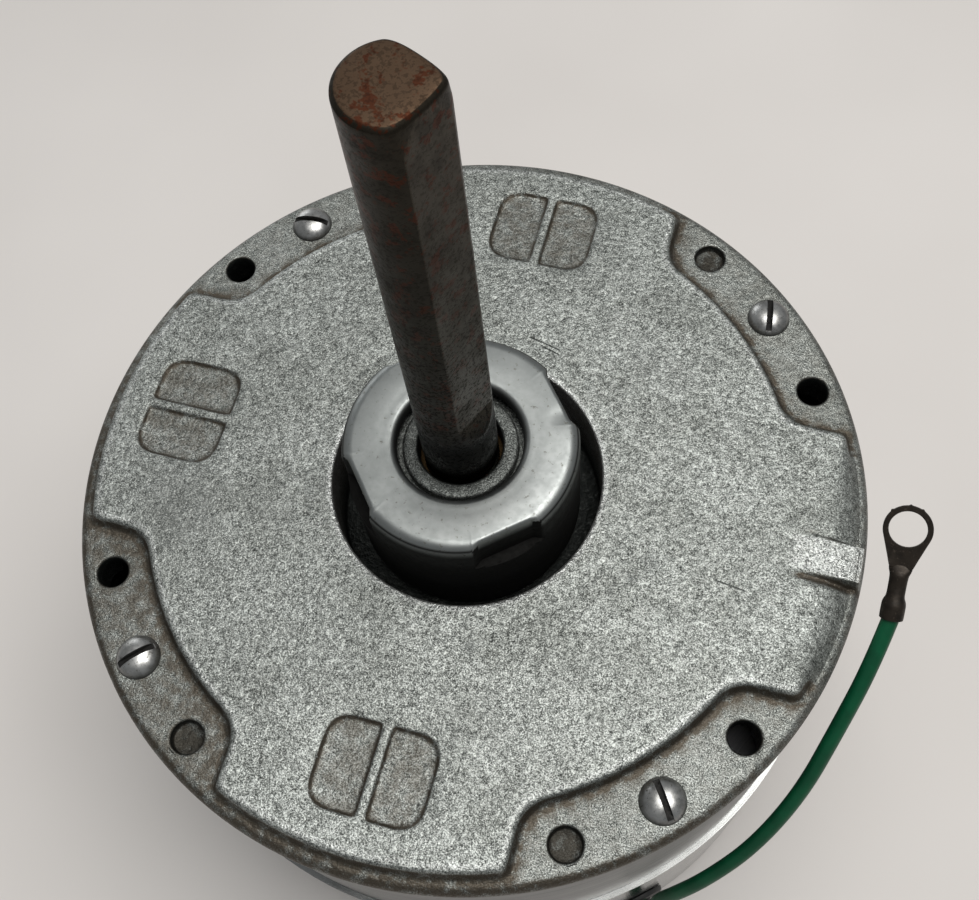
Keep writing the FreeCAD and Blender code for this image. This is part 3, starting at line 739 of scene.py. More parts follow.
@dataclass(frozen=True)
class Fibre:
    """Felt or varnished cord: matted hairs with a dusty sheen."""

    name: str
    base: Colour
    dark: Colour
    hair: float = 0.3

    def material(self) -> bpy.types.Material:
        """Builds the material.

        Returns:
            The material.
        """
        s = Shader(self.name)
        hairs = s.noise(self.hair, 4.0, 0.75)
        colour = s.ramp(hairs, (0.34, self.dark), (0.62, self.base))
        return s.finish(Base_Color=colour, Roughness=0.92, Sheen_Weight=0.35,
                        Sheen_Roughness=0.5, Normal=s.bump(hairs, 0.12))


Finish = CastSkin | Metal | ShaftSteel | Moulded | WoundWire | Fibre

FINISHES: dict[str, Finish] = {finish.name: finish for finish in (
    CastSkin("cast_aluminium"),
    Metal("rear_casting", (0.30, 0.305, 0.30), (0.15, 0.153, 0.15), 0.17, 0.08,
          grain=Grain.AROUND, pitch=0.5, relief=0.006, stain=0.35),
    Metal("bright_steel", (0.10, 0.102, 0.099), (0.05, 0.051, 0.049), 0.36, 0.10,
          grain=Grain.AROUND, pitch=0.4, relief=0.002, stain=0.3, stain_size=14.0),
    Metal("stamped_steel", (0.27, 0.283, 0.277), (0.17, 0.182, 0.178), 0.42, 0.08, pitch=1.2,
          relief=0.003, stain=0.45, stain_size=7.0, specks=0.18,
          speck_colour=(0.10, 0.095, 0.075), speck_size=1.0, painted_shade_and_dirt=True),
    ShaftSteel(),
    Metal("screw_steel", (0.47, 0.47, 0.46), (0.20, 0.20, 0.19), 0.34, 0.14, pitch=0.5,
          relief=0.01, stain=0.7, stain_size=2.2, specks=0.3, speck_colour=(0.06, 0.05, 0.04),
          speck_size=0.7, painted_shade_and_dirt=True),
    Metal("washer_steel", (0.42, 0.42, 0.43), (0.24, 0.24, 0.24), 0.30, 0.1, grain=Grain.AROUND),
    Metal("lamination_steel", (0.25, 0.255, 0.265), (0.07, 0.07, 0.072), 0.5, 0.2, metallic=0.8,
          grain=Grain.AROUND, pitch=0.55, relief=0.08, stain=0.4),
    Metal("rotor_aluminium", (0.58, 0.59, 0.60), (0.34, 0.34, 0.34), 0.42, 0.16, pitch=0.8,
          relief=0.03, stain=0.4, stain_size=4.0),
    Metal("bearing_bronze", (0.030, 0.019, 0.009), (0.012, 0.008, 0.004), 0.4, 0.1, pitch=0.3,
          relief=0.01, stain=0.5, stain_size=2.0),
    Metal("tinned_copper", (0.030, 0.023, 0.017), (0.010, 0.008, 0.006), 0.48, 0.14, metallic=0.7,
          pitch=0.6, relief=0.02, stain=0.7, stain_size=1.6, specks=0.25,
          speck_colour=(0.075, 0.060, 0.045), speck_size=0.5),
    WoundWire(),
    Moulded("insulation", (0.78, 0.74, 0.60), (0.62, 0.57, 0.42), 0.35, 0.3),
    Moulded("protector_case", (0.022, 0.022, 0.024), (0.012, 0.012, 0.013)),
    Moulded("grommet_rubber", (0.014, 0.014, 0.014), (0.028, 0.027, 0.026), 0.6, relief=0.03),
    Moulded("green_insulation", (0.001, 0.070, 0.028), (0.001, 0.046, 0.019), 0.42, size=5.0,
            sheen=0.25),
    Fibre("felt", (0.52, 0.47, 0.36), (0.30, 0.26, 0.18)),
    Fibre("lacing_cord", (0.72, 0.69, 0.58), (0.46, 0.42, 0.32), 0.5),
)}


@cache
def finish_of(slot: str) -> bpy.types.Material:
    """Material of one of the record's slots, built once."""
    return FINISHES[slot].material()


def settle(piece: bpy.types.Object, body: Body, slot: str, *nodes: str) -> bpy.types.Object:
    """Gives a piece its finish and body, and lets it stand for CAD nodes.

    Args:
        piece: the new piece.
        body: body that it rides on.
        slot: the record's material slot.
        *nodes: CAD nodes that it stands for.

    Returns:
        The same piece.
    """
    if not piece.data.materials:
        piece.data.materials.append(finish_of(slot))
    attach(piece, body.value)
    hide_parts(*nodes)
    log.info("%s rides on the %s in %s", piece.name, body.value, slot)
    return piece


# ---- drive end shield ----------------------------------------------------------------------
@dataclass
class DriveEndShield:
    """Die-cast end shield: raised face, four screw lands, pockets, rib, recess and hub."""

    face_radius: float = 66.8
    flange_under: float = -4.5
    plate_under: float = -5.5
    spigot_radius: float = 67.85
    spigot_inner: float = 64.35
    spigot_end: float = -9.0
    land_x: float = 24.1
    land_y: float = 23.9
    land_radius: float = 57.0
    land_corner: float = 4.0
    land: float = -2.3
    recess_radius: float = 23.85
    hole_radius: float = 64.4
    bolt_radius: float = 64.1
    rim_start: float = 68.2
    groove: float = 29.0
    blind_radius: float = 2.75
    blind_depth: float = 1.7
    mount_radius: float = 2.7
    bolt_bore: float = 2.15
    post_radius: float = 4.6
    lip: float = 0.35
    pocket_middle: float = 53.2
    pocket_half: float = 7.7
    pocket_span: tuple[float, float] = (0.75, 9.75)
    rib: tuple[float, float] = (-2.6, 3.5)
    bevel_start: float = 62.0
    wall: Profile = ((-0.9, 0.0), (-0.45, -0.03), (-0.15, -0.14), (0.08, -0.4), (0.28, -0.85),
                     (0.48, -1.4), (0.7, -1.9), (0.95, -2.2), (1.5, -2.3))
    face_rows: Sequence[float] = (24.25, 25.2, 27.4, 28.75, 29.0, 29.25, 31.0, 35.0, 39.5, 44.0,
                                  45.5, 47.0, 48.6, 50.2, 51.8, 53.4, 55.0, 56.6, 58.0, 59.4,
                                  60.8, 62.2, 63.2, 64.2, 65.1, 65.9)
    pocket_wall: Profile = ((0.32, 0.0), (0.1, -0.06), (-0.08, -0.24), (-0.28, -0.52),
                            (-0.5, -0.68), (-0.9, -0.74))
    hub: Profile = ((45.0, -5.5), (27.6, -5.5), (27.35, -5.8), (27.35, -17.7), (27.05, -18.0),
                    (14.8, -18.0), (14.8, 6.5), (10.75, 6.5), (10.75, -14.0), (8.75, -14.0),
                    (8.75, 8.5), (7.1, 8.5), (7.1, 12.5), (7.25, 12.85), (7.6, 13.0),
                    (9.3, 13.0), (9.65, 12.85), (9.8, 12.5), (9.8, 11.0), (16.2, 11.0),
                    (16.5, 10.7), (16.5, -5.0), (18.65, -5.0), (18.95, -5.3),
                    (18.95, -14.0), (23.35, -14.0))
    marks: Sequence[tuple[float, float, float, float]] = (
        (56.3, 4.1, 0.25, 0.9), (59.8, -23.2, 0.35, 0.7), (55.6, -24.6, 0.22, 0.6),
        (3.9, 29.3, -0.10, 0.5), (12.6, 46.5, -0.03, 2.4), (-31.0, -37.0, -0.03, 3.0),
        (33.0, -36.5, -0.04, 2.6), (-40.0, 28.0, -0.03, 3.4))
    pocket_rows: tuple[int, int] = (9, 21)
    block_steps: int = 10

    def __post_init__(self) -> None:
        """Sets the rays: every 0.625 degrees, and every 0.125 degrees by the rib."""
        close = np.arange(-5.0, 5.0, 0.125)
        wide = np.arange(5.0, 355.0 + 1e-6, 0.625)
        self.degrees = np.concatenate([close, wide])
        self.angles = np.radians(self.degrees)
        self.angles[-1] = self.angles[0]

    def beyond(self, x: Array, y: Array) -> Array:
        """Distance outside the raised face, negative inside it.

        Formula: the larger of r - face_radius and the depth inside a screw land, which is the
        smallest of |x| - land_x, |y| - land_y and r - land_radius, all with rounded corners.

        Args:
            x: places across.
            y: places along.

        Returns:
            The distances.
        """
        r = np.hypot(x, y)
        deep = rounded_min(np.abs(x) - self.land_x, r - self.land_radius, self.land_corner)
        deep = rounded_min(deep, np.abs(y) - self.land_y, self.land_corner)
        return -rounded_min(self.face_radius - r, -deep, 1.0)

    def edge(self, distance: float) -> Array:
        """Radius of the line at a distance beyond the raised face's edge, for each ray."""
        return radius_where(self.beyond, (0.0, 0.0), self.angles, distance, 30.0, 80.0)

    def relief(self, points: Array) -> Array:
        """Adds the sloping +X edge, its rib and small casting marks to the upper surface.

        Formula: beyond x = bevel_start and between the lands the surface falls to the lands'
        level at the rim, except on the rib, which keeps the face's level to a radius of 69.3;
        then come Gaussian dents and beads, each height exp(-d^2 / size^2).

        Args:
            points: grid of upper surface points with levels.

        Returns:
            The same grid, changed.
        """
        x, y, z = points[..., 0], points[..., 1], points[..., 2]
        r = np.hypot(x, y)
        upper = z > self.flange_under + 0.3
        on_rib = (smoothstep(self.rib[0] - 0.75, self.rib[0] - 0.05, y)
                  * (1 - smoothstep(self.rib[1] + 0.05, self.rib[1] + 0.75, y)))
        on_rib = on_rib * (x > 40) * (1 - smoothstep(69.0, 69.5, r))
        sector = (np.abs(y) < self.land_y + 0.2) & (x > self.bevel_start) & upper \
            & (r < self.rim_start + 0.1)
        far = np.sqrt(np.maximum(self.rim_start ** 2 - y ** 2, 0.0)) - self.bevel_start
        share = np.clip((x - self.bevel_start) / np.maximum(far, 0.5), 0.0, 1.0)
        slope = self.land * share ** 1.7
        middle = 1 - smoothstep(16.5, 22.0, np.abs(y))
        z = np.where(sector, slope * middle + np.minimum(z, slope) * (1 - middle), z)
        beside = np.exp(-((y - self.rib[0] + 1.0) / 0.8) ** 2) * 0.55 \
            + np.exp(-((y - self.rib[1] - 0.9) / 0.7) ** 2) * 0.25
        z = z - np.where(upper & (x > 50) & (r < self.rim_start),
                         beside * smoothstep(56.5, 62.0, x), 0.0)
        top = -0.02 - 0.02 * (r > 66)
        z = np.where(upper & (x > 55) & (on_rib > 0), z * (1 - on_rib) + top * on_rib, z)
        for mark_x, mark_y, height, size in self.marks:
            z = z + np.where(upper, height * np.exp(-((x - mark_x) ** 2 + (y - mark_y) ** 2)
                                                    / size ** 2), 0.0)
        return np.stack([x, y, z], axis=-1)

    def section(self) -> tuple[Array, dict[str, list[int]]]:
        """Rows of the closed section: face, land wall, lands, rim, spigot, plate and hub.

        Returns:
            Grid of levels, and the row numbers of the pocket, upper and lower hole blocks,
            each from the inner row to the outer one.
        """
        a = self.angles
        start = self.edge(self.wall[0][0])
        plain = 40.0         # rows inside this radius are circles
        rows: list[Array] = []
        for radius in self.face_rows:
            share = max(0.0, (radius - plain) / (self.face_radius + self.wall[0][0] - plain))
            level = -0.05 if radius == self.groove else 0.0
            rows.append(ring_of(a, min(radius, plain) + share * (start - plain), level))
        rows += [ring_of(a, self.edge(e), z) for e, z in self.wall]
        foot, rim = self.edge(self.wall[-1][0]), self.rim_start
        shares = [0.07, *np.linspace(0.2, 0.935, self.block_steps + 1), 1.0]
        upper = len(rows) + 1
        rows += [ring_of(a, foot + s * (rim - foot), self.land) for s in shares]
        bend = FLANGE - rim
        rows += [ring_of(a, r, z) for r, z in arc((rim, self.land - bend), bend, 78, 0, 7)]
        rows += [ring_of(a, FLANGE, self.flange_under + 0.15),
                 ring_of(a, FLANGE - 0.15, self.flange_under),
                 ring_of(a, self.spigot_radius, self.flange_under),
                 ring_of(a, self.spigot_radius, self.spigot_end + 0.3),
                 ring_of(a, self.spigot_radius - 0.3, self.spigot_end)]
        lower = len(rows)
        under = [(67.4, self.spigot_end), (66.7, self.spigot_end), (65.9, self.spigot_end),
                 (65.2, self.spigot_end), (64.5, self.spigot_end),
                 (self.spigot_inner, self.spigot_end + 0.15), (self.spigot_inner, -7.4),
                 (self.spigot_inner, self.plate_under), (63.0, self.plate_under),
                 (61.8, self.plate_under), (60.4, self.plate_under)]
        rows += [ring_of(a, r, z) for r, z in under]
        recess = [(self.recess_radius, -13.5), (self.recess_radius, -0.35), (23.98, -0.12)]
        rows += [ring_of(a, r, z) for r, z in [*self.hub, *recess]]
        rows.append(rows[0])
        blocks = {"pocket": list(range(self.pocket_rows[0], self.pocket_rows[1] + 1)),
                  "upper": list(range(upper, upper + self.block_steps + 1)),
                  "lower": list(range(lower + self.block_steps, lower - 1, -1))}
        return np.array(rows), blocks

    @staticmethod
    def border(block: Array) -> Array:
        """Closed loop of points around a block of the grid, its last point the first again."""
        return np.concatenate([block[0, :-1], block[:-1, -1], block[-1, :0:-1], block[:0:-1, 0],
                               block[:1, 0]])

    def columns(self, middle: float, half: float) -> slice:
        """Columns of the rays within half degrees of a middle angle."""
        picked = np.flatnonzero(np.abs(self.degrees - middle % 360.0) < half + 1e-6)
        return slice(int(picked[0]), int(picked[-1]) + 1)

    def hole(self, skin: Skin, grid: Array, blocks: dict[str, list[int]], keep: Array,
             angle: float, radius: float, circle: float, depth: float | None) -> None:
        """Cuts a round hole at one place of the grid and lines it.

        Formula: the block's border is joined to circles about the hole's centre, whose points
        lie at the border points' own directions.

        Args:
            skin: surface that takes the lining.
            grid: the section's grid.
            blocks: row numbers of the hole blocks.
            keep: quads kept in the grid, changed here.
            angle: place of the hole in degrees.
            radius: radius of the hole.
            circle: distance of its centre from the axis.
            depth: depth of a blind hole, or None for a through hole.
        """
        columns = self.columns(angle, 4.4 if radius > 2.5 else 3.2)
        turn = math.radians(angle)
        centre = np.array([circle * math.cos(turn), circle * math.sin(turn)])
        loops = {}
        for side in ("upper", "lower")[:1 if depth is not None else 2]:
            rows = blocks[side]
            loops[side] = self.border(grid[rows][:, columns])
            keep[min(rows):max(rows), columns.start:columns.stop - 1] = False
        away = loops["upper"][:, :2] - centre
        directions = np.arctan2(away[:, 1], away[:, 0])

        def circle_at(size: float, level: Array | float) -> Array:
            """Circle about the hole's axis."""
            return ring_of(directions, size, level) + at_level(centre, 0.0)

        lip = self.lip
        rings = [loops["upper"], circle_at(radius + lip + 0.25, self.land),
                 circle_at(radius + lip, self.land - 0.02), circle_at(radius, self.land - lip)]
        if depth is not None:
            bottom = self.land - depth
            rings += [circle_at(radius, bottom + 0.25), circle_at(radius - 0.25, bottom),
                      circle_at(radius * 0.5, bottom), circle_at(0.0, bottom)]
            skin.grid(np.array(rings))
            return
        rings.append(circle_at(radius, self.plate_under + 0.5))
        for size in (radius, radius + 0.3):
            distance = np.hypot(*circle_at(size, 0.0)[:, :2].T)
            rings.append(circle_at(size, np.where(distance > self.spigot_inner,
                                                  self.spigot_end, self.plate_under)))
        rings.append(loops["lower"])
        skin.grid(np.array(rings))

    def pocket(self, skin: Skin, grid: Array, rows: list[int], keep: Array, middle: float,
               side: int) -> None:
        """Sinks one shallow pocket beside its rib.

        Formula: rings at levels of the distance beyond a box with rounded outer corners, found
        along the directions of the block's border points, then rings shrunk to its centre.

        Args:
            skin: surface that takes the pocket.
            grid: the section's grid.
            rows: rows of the pocket block.
            keep: quads kept in the grid, changed here.
            middle: direction of the pair of pockets in degrees.
            side: 1 or -1, the side of the rib.
        """
        half_columns = 24
        centre_column = int(np.argmin(np.abs(self.degrees - middle)))
        first, last = sorted((centre_column, centre_column + side * half_columns))
        loop = self.border(grid[rows][:, first:last + 1])
        keep[min(rows):max(rows), first:last] = False
        turn = math.radians(middle)
        out = np.array([math.cos(turn), math.sin(turn)])
        across = np.array([-out[1], out[0]]) * side
        half_r, half_t = self.pocket_half, (self.pocket_span[1] - self.pocket_span[0]) / 2
        centre = out * self.pocket_middle + across * (self.pocket_span[0] + half_t)

        def beyond(x: Array, y: Array) -> Array:
            """Distance outside the pocket's outline.

            Args:
                x: places across.
                y: places along.

            Returns:
                The distances.
            """
            t = (x - centre[0]) * across[0] + (y - centre[1]) * across[1]
            q = (x - centre[0]) * out[0] + (y - centre[1]) * out[1]
            round_far = -rounded_min(half_t - t, half_r - np.abs(q), 4.6)
            round_near = -rounded_min(half_t + t, half_r - np.abs(q), 0.8)
            return np.maximum(round_far, round_near)

        away = loop[:, :2] - centre
        directions = np.arctan2(away[:, 1], away[:, 0])
        rings = [loop]
        for distance, level in self.pocket_wall:
            reach = radius_where(beyond, tuple(centre), directions, distance, 0.0, 14.0)
            rings.append(ring_of(directions, reach, level) + at_level(centre, 0.0))
        floor = rings[-1]
        middle_point = at_level(centre, floor[0, 2])
        rings += [middle_point + (floor - middle_point) * share for share in (0.66, 0.33, 0.0)]
        skin.grid(np.array(rings))

    def posts(self, skin: Skin) -> None:
        """Adds the four bolt posts that reach down from the plate to the stator stack.

        Args:
            skin: surface that takes the posts.
        """
        low = float(corners("stator_core")[1][2]) - FACE
        high = self.plate_under + 0.9
        tube = turned(softened([(self.bolt_bore, low), (self.post_radius, low),
                                (self.post_radius, high), (self.bolt_bore, high)], 0.3), 32)
        for angle in (45, 135, 225, 315):
            turn = math.radians(angle)
            moved = tube + self.bolt_radius * np.array([math.cos(turn), math.sin(turn), 0.0])
            reach = np.hypot(moved[..., 0], moved[..., 1])
            shrink = np.minimum(1.0, (self.spigot_radius - 0.05) / reach)
            moved[..., :2] *= shrink[..., None]
            skin.grid(moved)

    def near_hole(self, places: Array, reach: float) -> Array:
        """Whether each place is in any of the holes of the screw lands.

        Args:
            places: points, of shape (points, 3).
            reach: distance added to each hole's radius.

        Returns:
            One truth value for each place.
        """
        inside = np.zeros(len(places), bool)
        for side in (0, 180):
            for angle in (-60, -45, -30, 30, 45, 60):
                place = math.radians(side + angle)
                circle = self.bolt_radius if abs(angle) == 45 else self.hole_radius
                inside |= np.hypot(places[:, 0] - circle * math.cos(place),
                                   places[:, 1] - circle * math.sin(place)) < 2.8 + reach
        return inside

    def grime_and_shade(self, places: Array) -> Array:
        """Stain at the lands' feet, darker pockets and blind holes, and painted shade on the rim (most on its
        lower side), under the flange, beside the rib and on the left lands.

        Args:
            places: vertices in millimetres, of shape (vertices, 3).

        Returns:
            A share from 0 to 1 for each vertex.
        """
        x, y, level = places[:, 0], places[:, 1], places[:, 2] - FACE
        r, away = np.hypot(x, y), self.beyond(x, y)
        land_side = (np.abs(x) > self.land_x - 3) & (np.abs(y) > self.land_y - 3) & (r > 52)
        plain_side = np.where((x > 60) & ~land_side, 0.0, 0.45)
        share = np.where(land_side, 1.0, plain_side)
        at_foot = np.exp(-((away - 1.3) / 0.95) ** 2) * share
        spread = np.exp(-((away - 1.2) / 3.2) ** 2) * (away > 0.9) * share * 0.55
        on_wall = np.where((away > 0.1) & (away < 1.3), 0.85, 0.0) * share
        at_foot = np.where((x > 62) & (np.abs(y) < self.land_y - 3), 0.0, at_foot)
        on_land = np.where(level < -1.9, 0.30, 0.0)
        inner = (r < 62) & (level > -0.9) & (away < -1)
        sunk = np.where(inner & (level < -0.15), 0.17, 0.0)
        line = np.exp(-((level + 0.42) / 0.3) ** 2) * inner * 0.9
        # Painted shade: the rim and the ground outside the raised face grow darker towards the lower, front
        # side.
        below = smoothstep(0.3, -0.7, (y + 0.5 * x) / np.maximum(r, 1.0))
        rim = smoothstep(67.9, 69.3, r) * (0.42 + 0.45 * below)
        rim = np.maximum(rim, (away > 0.15) * ~land_side * below * 0.8)
        lip = np.exp(-((r - 25.4) / 1.2) ** 2) * 0.18
        # Painted shade under the flange.
        side = np.where((level < -3.7) & (r > 69.0), 0.8, 0.0)
        bevel = smoothstep(65.5, 69.5, r) * (x > 60) * ~land_side * 0.40
        rib_inner = np.exp(-((x - 57.2) / 0.7) ** 2) * (np.abs(y - 0.4) < 2.9) * 0.25
        bevel = np.maximum(bevel, rib_inner)
        # Painted shadow beside the rib: a wedge along its lower side and a thin line along its upper side.
        shadow_below_rib = smoothstep(56.5, 61.0, x) * np.exp(-((y - self.rib[0] + 1.0) / 0.9) ** 2)
        shadow_above_rib = smoothstep(60.0, 64.0, x) * np.exp(-((y - self.rib[1] - 0.45) / 0.4) ** 2)
        bevel = np.maximum(bevel, np.maximum(shadow_below_rib * 0.95, shadow_above_rib * 0.6))
        # Painted shade on the left lands, darkest at the lower left.
        left = land_side & (x < 0) & (away > 0.3)
        stain = np.where(left & (y < 0), 0.50 + 0.25 * np.exp(-away / 4.0),
                         np.where(left, 0.20, 0.0))
        blind = self.near_hole(places, 0.4) & (level < self.land - 0.1) \
            & (level > self.land - 1.9)
        total = np.max([at_foot, spread, on_wall, on_land, sunk + line, rim, lip, side, bevel,
                        blind * 0.9, stain], axis=0)
        return np.clip(total, 0.0, 1.0)

    def oil_and_shade(self, places: Array) -> Array:
        """Near-black: darker on the hub, and painted shade in the recess, in the bore and down the holes.

        Args:
            places: vertices in millimetres, of shape (vertices, 3).

        Returns:
            A share from 0 to 1 for each vertex.
        """
        level, r = places[:, 2] - FACE, np.hypot(places[:, 0], places[:, 1])
        recess = np.where((r < self.recess_radius + 0.02) & (level < -0.45), 1.0, 0.0)
        hub = np.where((r < 10.5) & (level > 8), 0.62, 0.0)
        bore = np.where((r < 7.3) & (level > 5), 0.95, 0.0)
        holes = np.where(self.near_hole(places, 0.05) & (level < self.land - 0.2), 1.0, 0.0)
        blind = np.where(self.near_hole(places, 0.05) & (level < self.land - 1.3)
                         & (level > self.land - 1.9), 0.6, 0.0)
        holes = np.where(blind > 0, blind, holes)
        return np.max([recess, hub, bore, holes], axis=0)

    def wear(self, places: Array) -> Array:
        """Bright rubbed edges: the raised face's rim, the recess lip and the rib.

        Args:
            places: vertices in millimetres, of shape (vertices, 3).

        Returns:
            A share from 0 to 1 for each vertex.
        """
        x, y, level = places[:, 0], places[:, 1], places[:, 2] - FACE
        r, away = np.hypot(x, y), self.beyond(x, y)
        top = np.exp(-((away + 0.75) / 0.3) ** 2) * (level > -0.6) * 0.6
        top = np.where((x > 62) & (np.abs(y) < self.land_y - 2), 0.0, top)
        lip = np.exp(-((r - 24.1) / 0.3) ** 2) * (level > -0.4) * (level < 0.1) * 1.2
        rib = ((y > self.rib[0]) & (y < self.rib[1]) & (x > 57.5)
               & (level > -0.4) & (level < 0.2)) * 0.5
        return np.clip(np.max([top, lip, rib], axis=0), 0.0, 1.0)

    def build(self) -> bpy.types.Object:
        """Makes the casting.

        Returns:
            The finished piece.
        """
        skin = Skin("drive_end_shield_casting")
        grid, blocks = self.section()
        upper_rows = blocks["upper"][-1] + 9
        grid[:upper_rows] = self.relief(grid[:upper_rows])
        grid[-1] = grid[0]
        keep = np.ones((grid.shape[0] - 1, grid.shape[1] - 1), bool)
        holes = ((30, self.mount_radius, self.hole_radius, None),
                 (60, self.blind_radius, self.hole_radius, self.blind_depth),
                 (45, self.bolt_bore, self.bolt_radius, None))
        for side in (0, 180):
            for sign in (-1, 1):
                for angle, radius, circle, depth in holes:
                    self.hole(skin, grid, blocks, keep, (side + sign * angle) % 360, radius,
                              circle, depth)
        for middle in (90.0, 180.0, 270.0):
            for side in (-1, 1):
                self.pocket(skin, grid, blocks["pocket"], keep, middle, side)
        skin.grid(grid, keep)
        self.posts(skin)
        skin.quads = [cells + np.array([0.0, 0.0, FACE]) for cells in skin.quads]
        piece = skin.build(50.0)
        for name, value_at in (("grime_and_shade", self.grime_and_shade), ("wear", self.wear),
                               ("oil_and_shade", self.oil_and_shade)):
            paint(piece, name, value_at)
        return settle(piece, Body.STATOR, "cast_aluminium", "drive_end_shield")


# ---- drive bearing cap ---------------------------------------------------------------------
@dataclass
class BearingCap:
    """Pressed steel cap over the hub: rolled inner lip, rounded edge and four pressed flats."""

    radius: float = 20.0
    top: float = 15.0
    bottom: float = -10.0
    edge: float = 2.2
    wall: float = 1.0
    hole: float = 10.65
    flat: float = 18.1
    flat_half: float = 5.4
    flat_bottom: float = 7.0
    flats: Sequence[float] = (-50.0, 40.0, 130.0, 220.0)

    def outline(self, radius: float, edge: float) -> list[tuple[float, float]]:
        """Closed section from the bottom edge up the side, over the lip and back inside.

        Args:
            radius: outer radius above the flats' ledge.
            edge: radius of the rounded upper edge.

        Returns:
            (radius, level) points.
        """
        t, w, r, u = self.top, self.wall, self.radius, radius
        ledge = self.flat_bottom
        outer = [(r - w / 2, self.bottom), (r - 0.2, self.bottom + 0.05), (r, self.bottom + 0.3),
                 (r, 0.0), (r, ledge - 0.7), (r, ledge - 0.35), (r * 0.6 + u * 0.4, ledge - 0.08),
                 (u, ledge), (u, ledge + 0.3), (u, 9.0), (u, 11.0), (u, t - 3.0)]
        outer += arc((u - edge, t - edge), edge, 0, 90, 8)
        outer += [(15.9, t + 0.04), (15.0, t + 0.06), (13.6, t + 0.04), (12.6, t - 0.02)]
        outer += arc((self.hole + 1.3, t - 1.3), 1.3, 95, 180, 7)
        lip = [(self.hole, t - 2.0), (self.hole + 0.25, t - 2.25), (self.hole + 0.75, t - 2.25),
               (self.hole + w, t - 2.0)]
        inner = arc((self.hole + w + 0.35, t - w - 0.35), 0.35, 180, 90, 3)
        inner += [(15.0, t - w), (15.9, t - w)]
        inner += arc((u - edge, t - edge), max(edge - w, 0.1), 90, 0, 5)
        inner += [(u - w, 11.0), (u - w, ledge + 0.3), (u - w, ledge - 0.6),
                  (r - w, ledge - 1.2), (r - w, 0.0), (r - w, self.bottom + 0.2),
                  (r - w / 2, self.bottom)]
        return outer + lip + inner

    def build(self) -> bpy.types.Object:
        """Makes the cap.

        Formula: the plain section and the section through a flat are mixed by how far each
        angle lies in a flat; above the ledge the flat's section moves out by
        flat / cos(turn) - flat, so that the flat is plane.

        Returns:
            The finished piece.
        """
        angles = np.radians(np.linspace(0.0, 360.0, 721))
        angles[-1] = angles[0]
        plain = np.array(self.outline(self.radius, self.edge))
        pressed = np.array(self.outline(self.flat, 0.75))
        share, outward = np.zeros_like(angles), np.zeros_like(angles)
        for middle in self.flats:
            turn = turn_from(middle, angles)
            turn = np.where(np.abs(turn) < 0.6, turn, 0.6)
            along = np.abs(self.flat * np.tan(turn))
            near = 1 - smoothstep(self.flat_half - 0.9, self.flat_half + 0.9, along)
            share = np.maximum(share, near)
            outward = np.where(near > 0, self.flat / np.cos(turn) - self.flat, outward)
        moves = (smoothstep(15.9, 17.0, pressed[:, 0]) * (plain[:, 0] != pressed[:, 0]))
        flat_r = pressed[:, :1] + moves[:, None] * outward[None, :]
        flat_r = np.minimum(flat_r, plain[:, :1] + 0.0 * outward)
        radius = plain[:, :1] * (1 - share) + flat_r * share
        height = plain[:, 1:] * (1 - share) + pressed[:, 1:] * share
        r, z = plain[:, :1], plain[:, 1:]
        flare = (0.07 * np.exp(-((share - 0.25) / 0.2) ** 2)
                 * smoothstep(17.2, 19.4, r) * (z > self.top - 2.4))
        dents = (0.28 * np.exp(-(((angles - math.radians(28)) * 17) / 1.5) ** 2)
                 * smoothstep(15.2, 18.8, r) * (z > self.top - 1.8))
        skin = Skin("drive_bearing_cap_pressing")
        skin.grid(ring_of(angles, radius, height + flare - dents + FACE))
        piece = skin.build(40.0)
        paint(piece, "grime_and_shade", self.grime_and_shade)
        return settle(piece, Body.STATOR, "stamped_steel", "drive_bearing_cap")

    def grime_and_shade(self, places: Array) -> Array:
        """Painted shade down the side and on the flats, and darker on the ledges below the flats and inside the
        lip.

        Args:
            places: vertices in millimetres, of shape (vertices, 3).

        Returns:
            A share from 0 to 1 for each vertex.
        """
        r, level = np.hypot(places[:, 0], places[:, 1]), places[:, 2] - FACE
        ledge = np.where((np.abs(level - self.flat_bottom) < 0.8) & (r > 17.5), 1.0, 0.0)
        # Painted shade on the flats.
        pressed = np.where((r < self.radius - 0.25) & (r > self.flat - 0.15)
                           & (level > self.flat_bottom) & (level < self.top - 0.8), 1.0, 0.0)
        lip = np.exp(-((r - 10.8) / 0.45) ** 2) * (level < self.top - 0.25) * 0.9
        # Painted shade down the side, fading out near the top.
        side = 1 - smoothstep(12.2, 14.5, level)
        inside = np.where((level < self.top - 0.7) & (r < self.flat - 0.3), 0.9, 0.0)
        return np.clip(np.max([ledge, lip, side * 0.97, pressed, inside], axis=0), 0.0, 1.0)


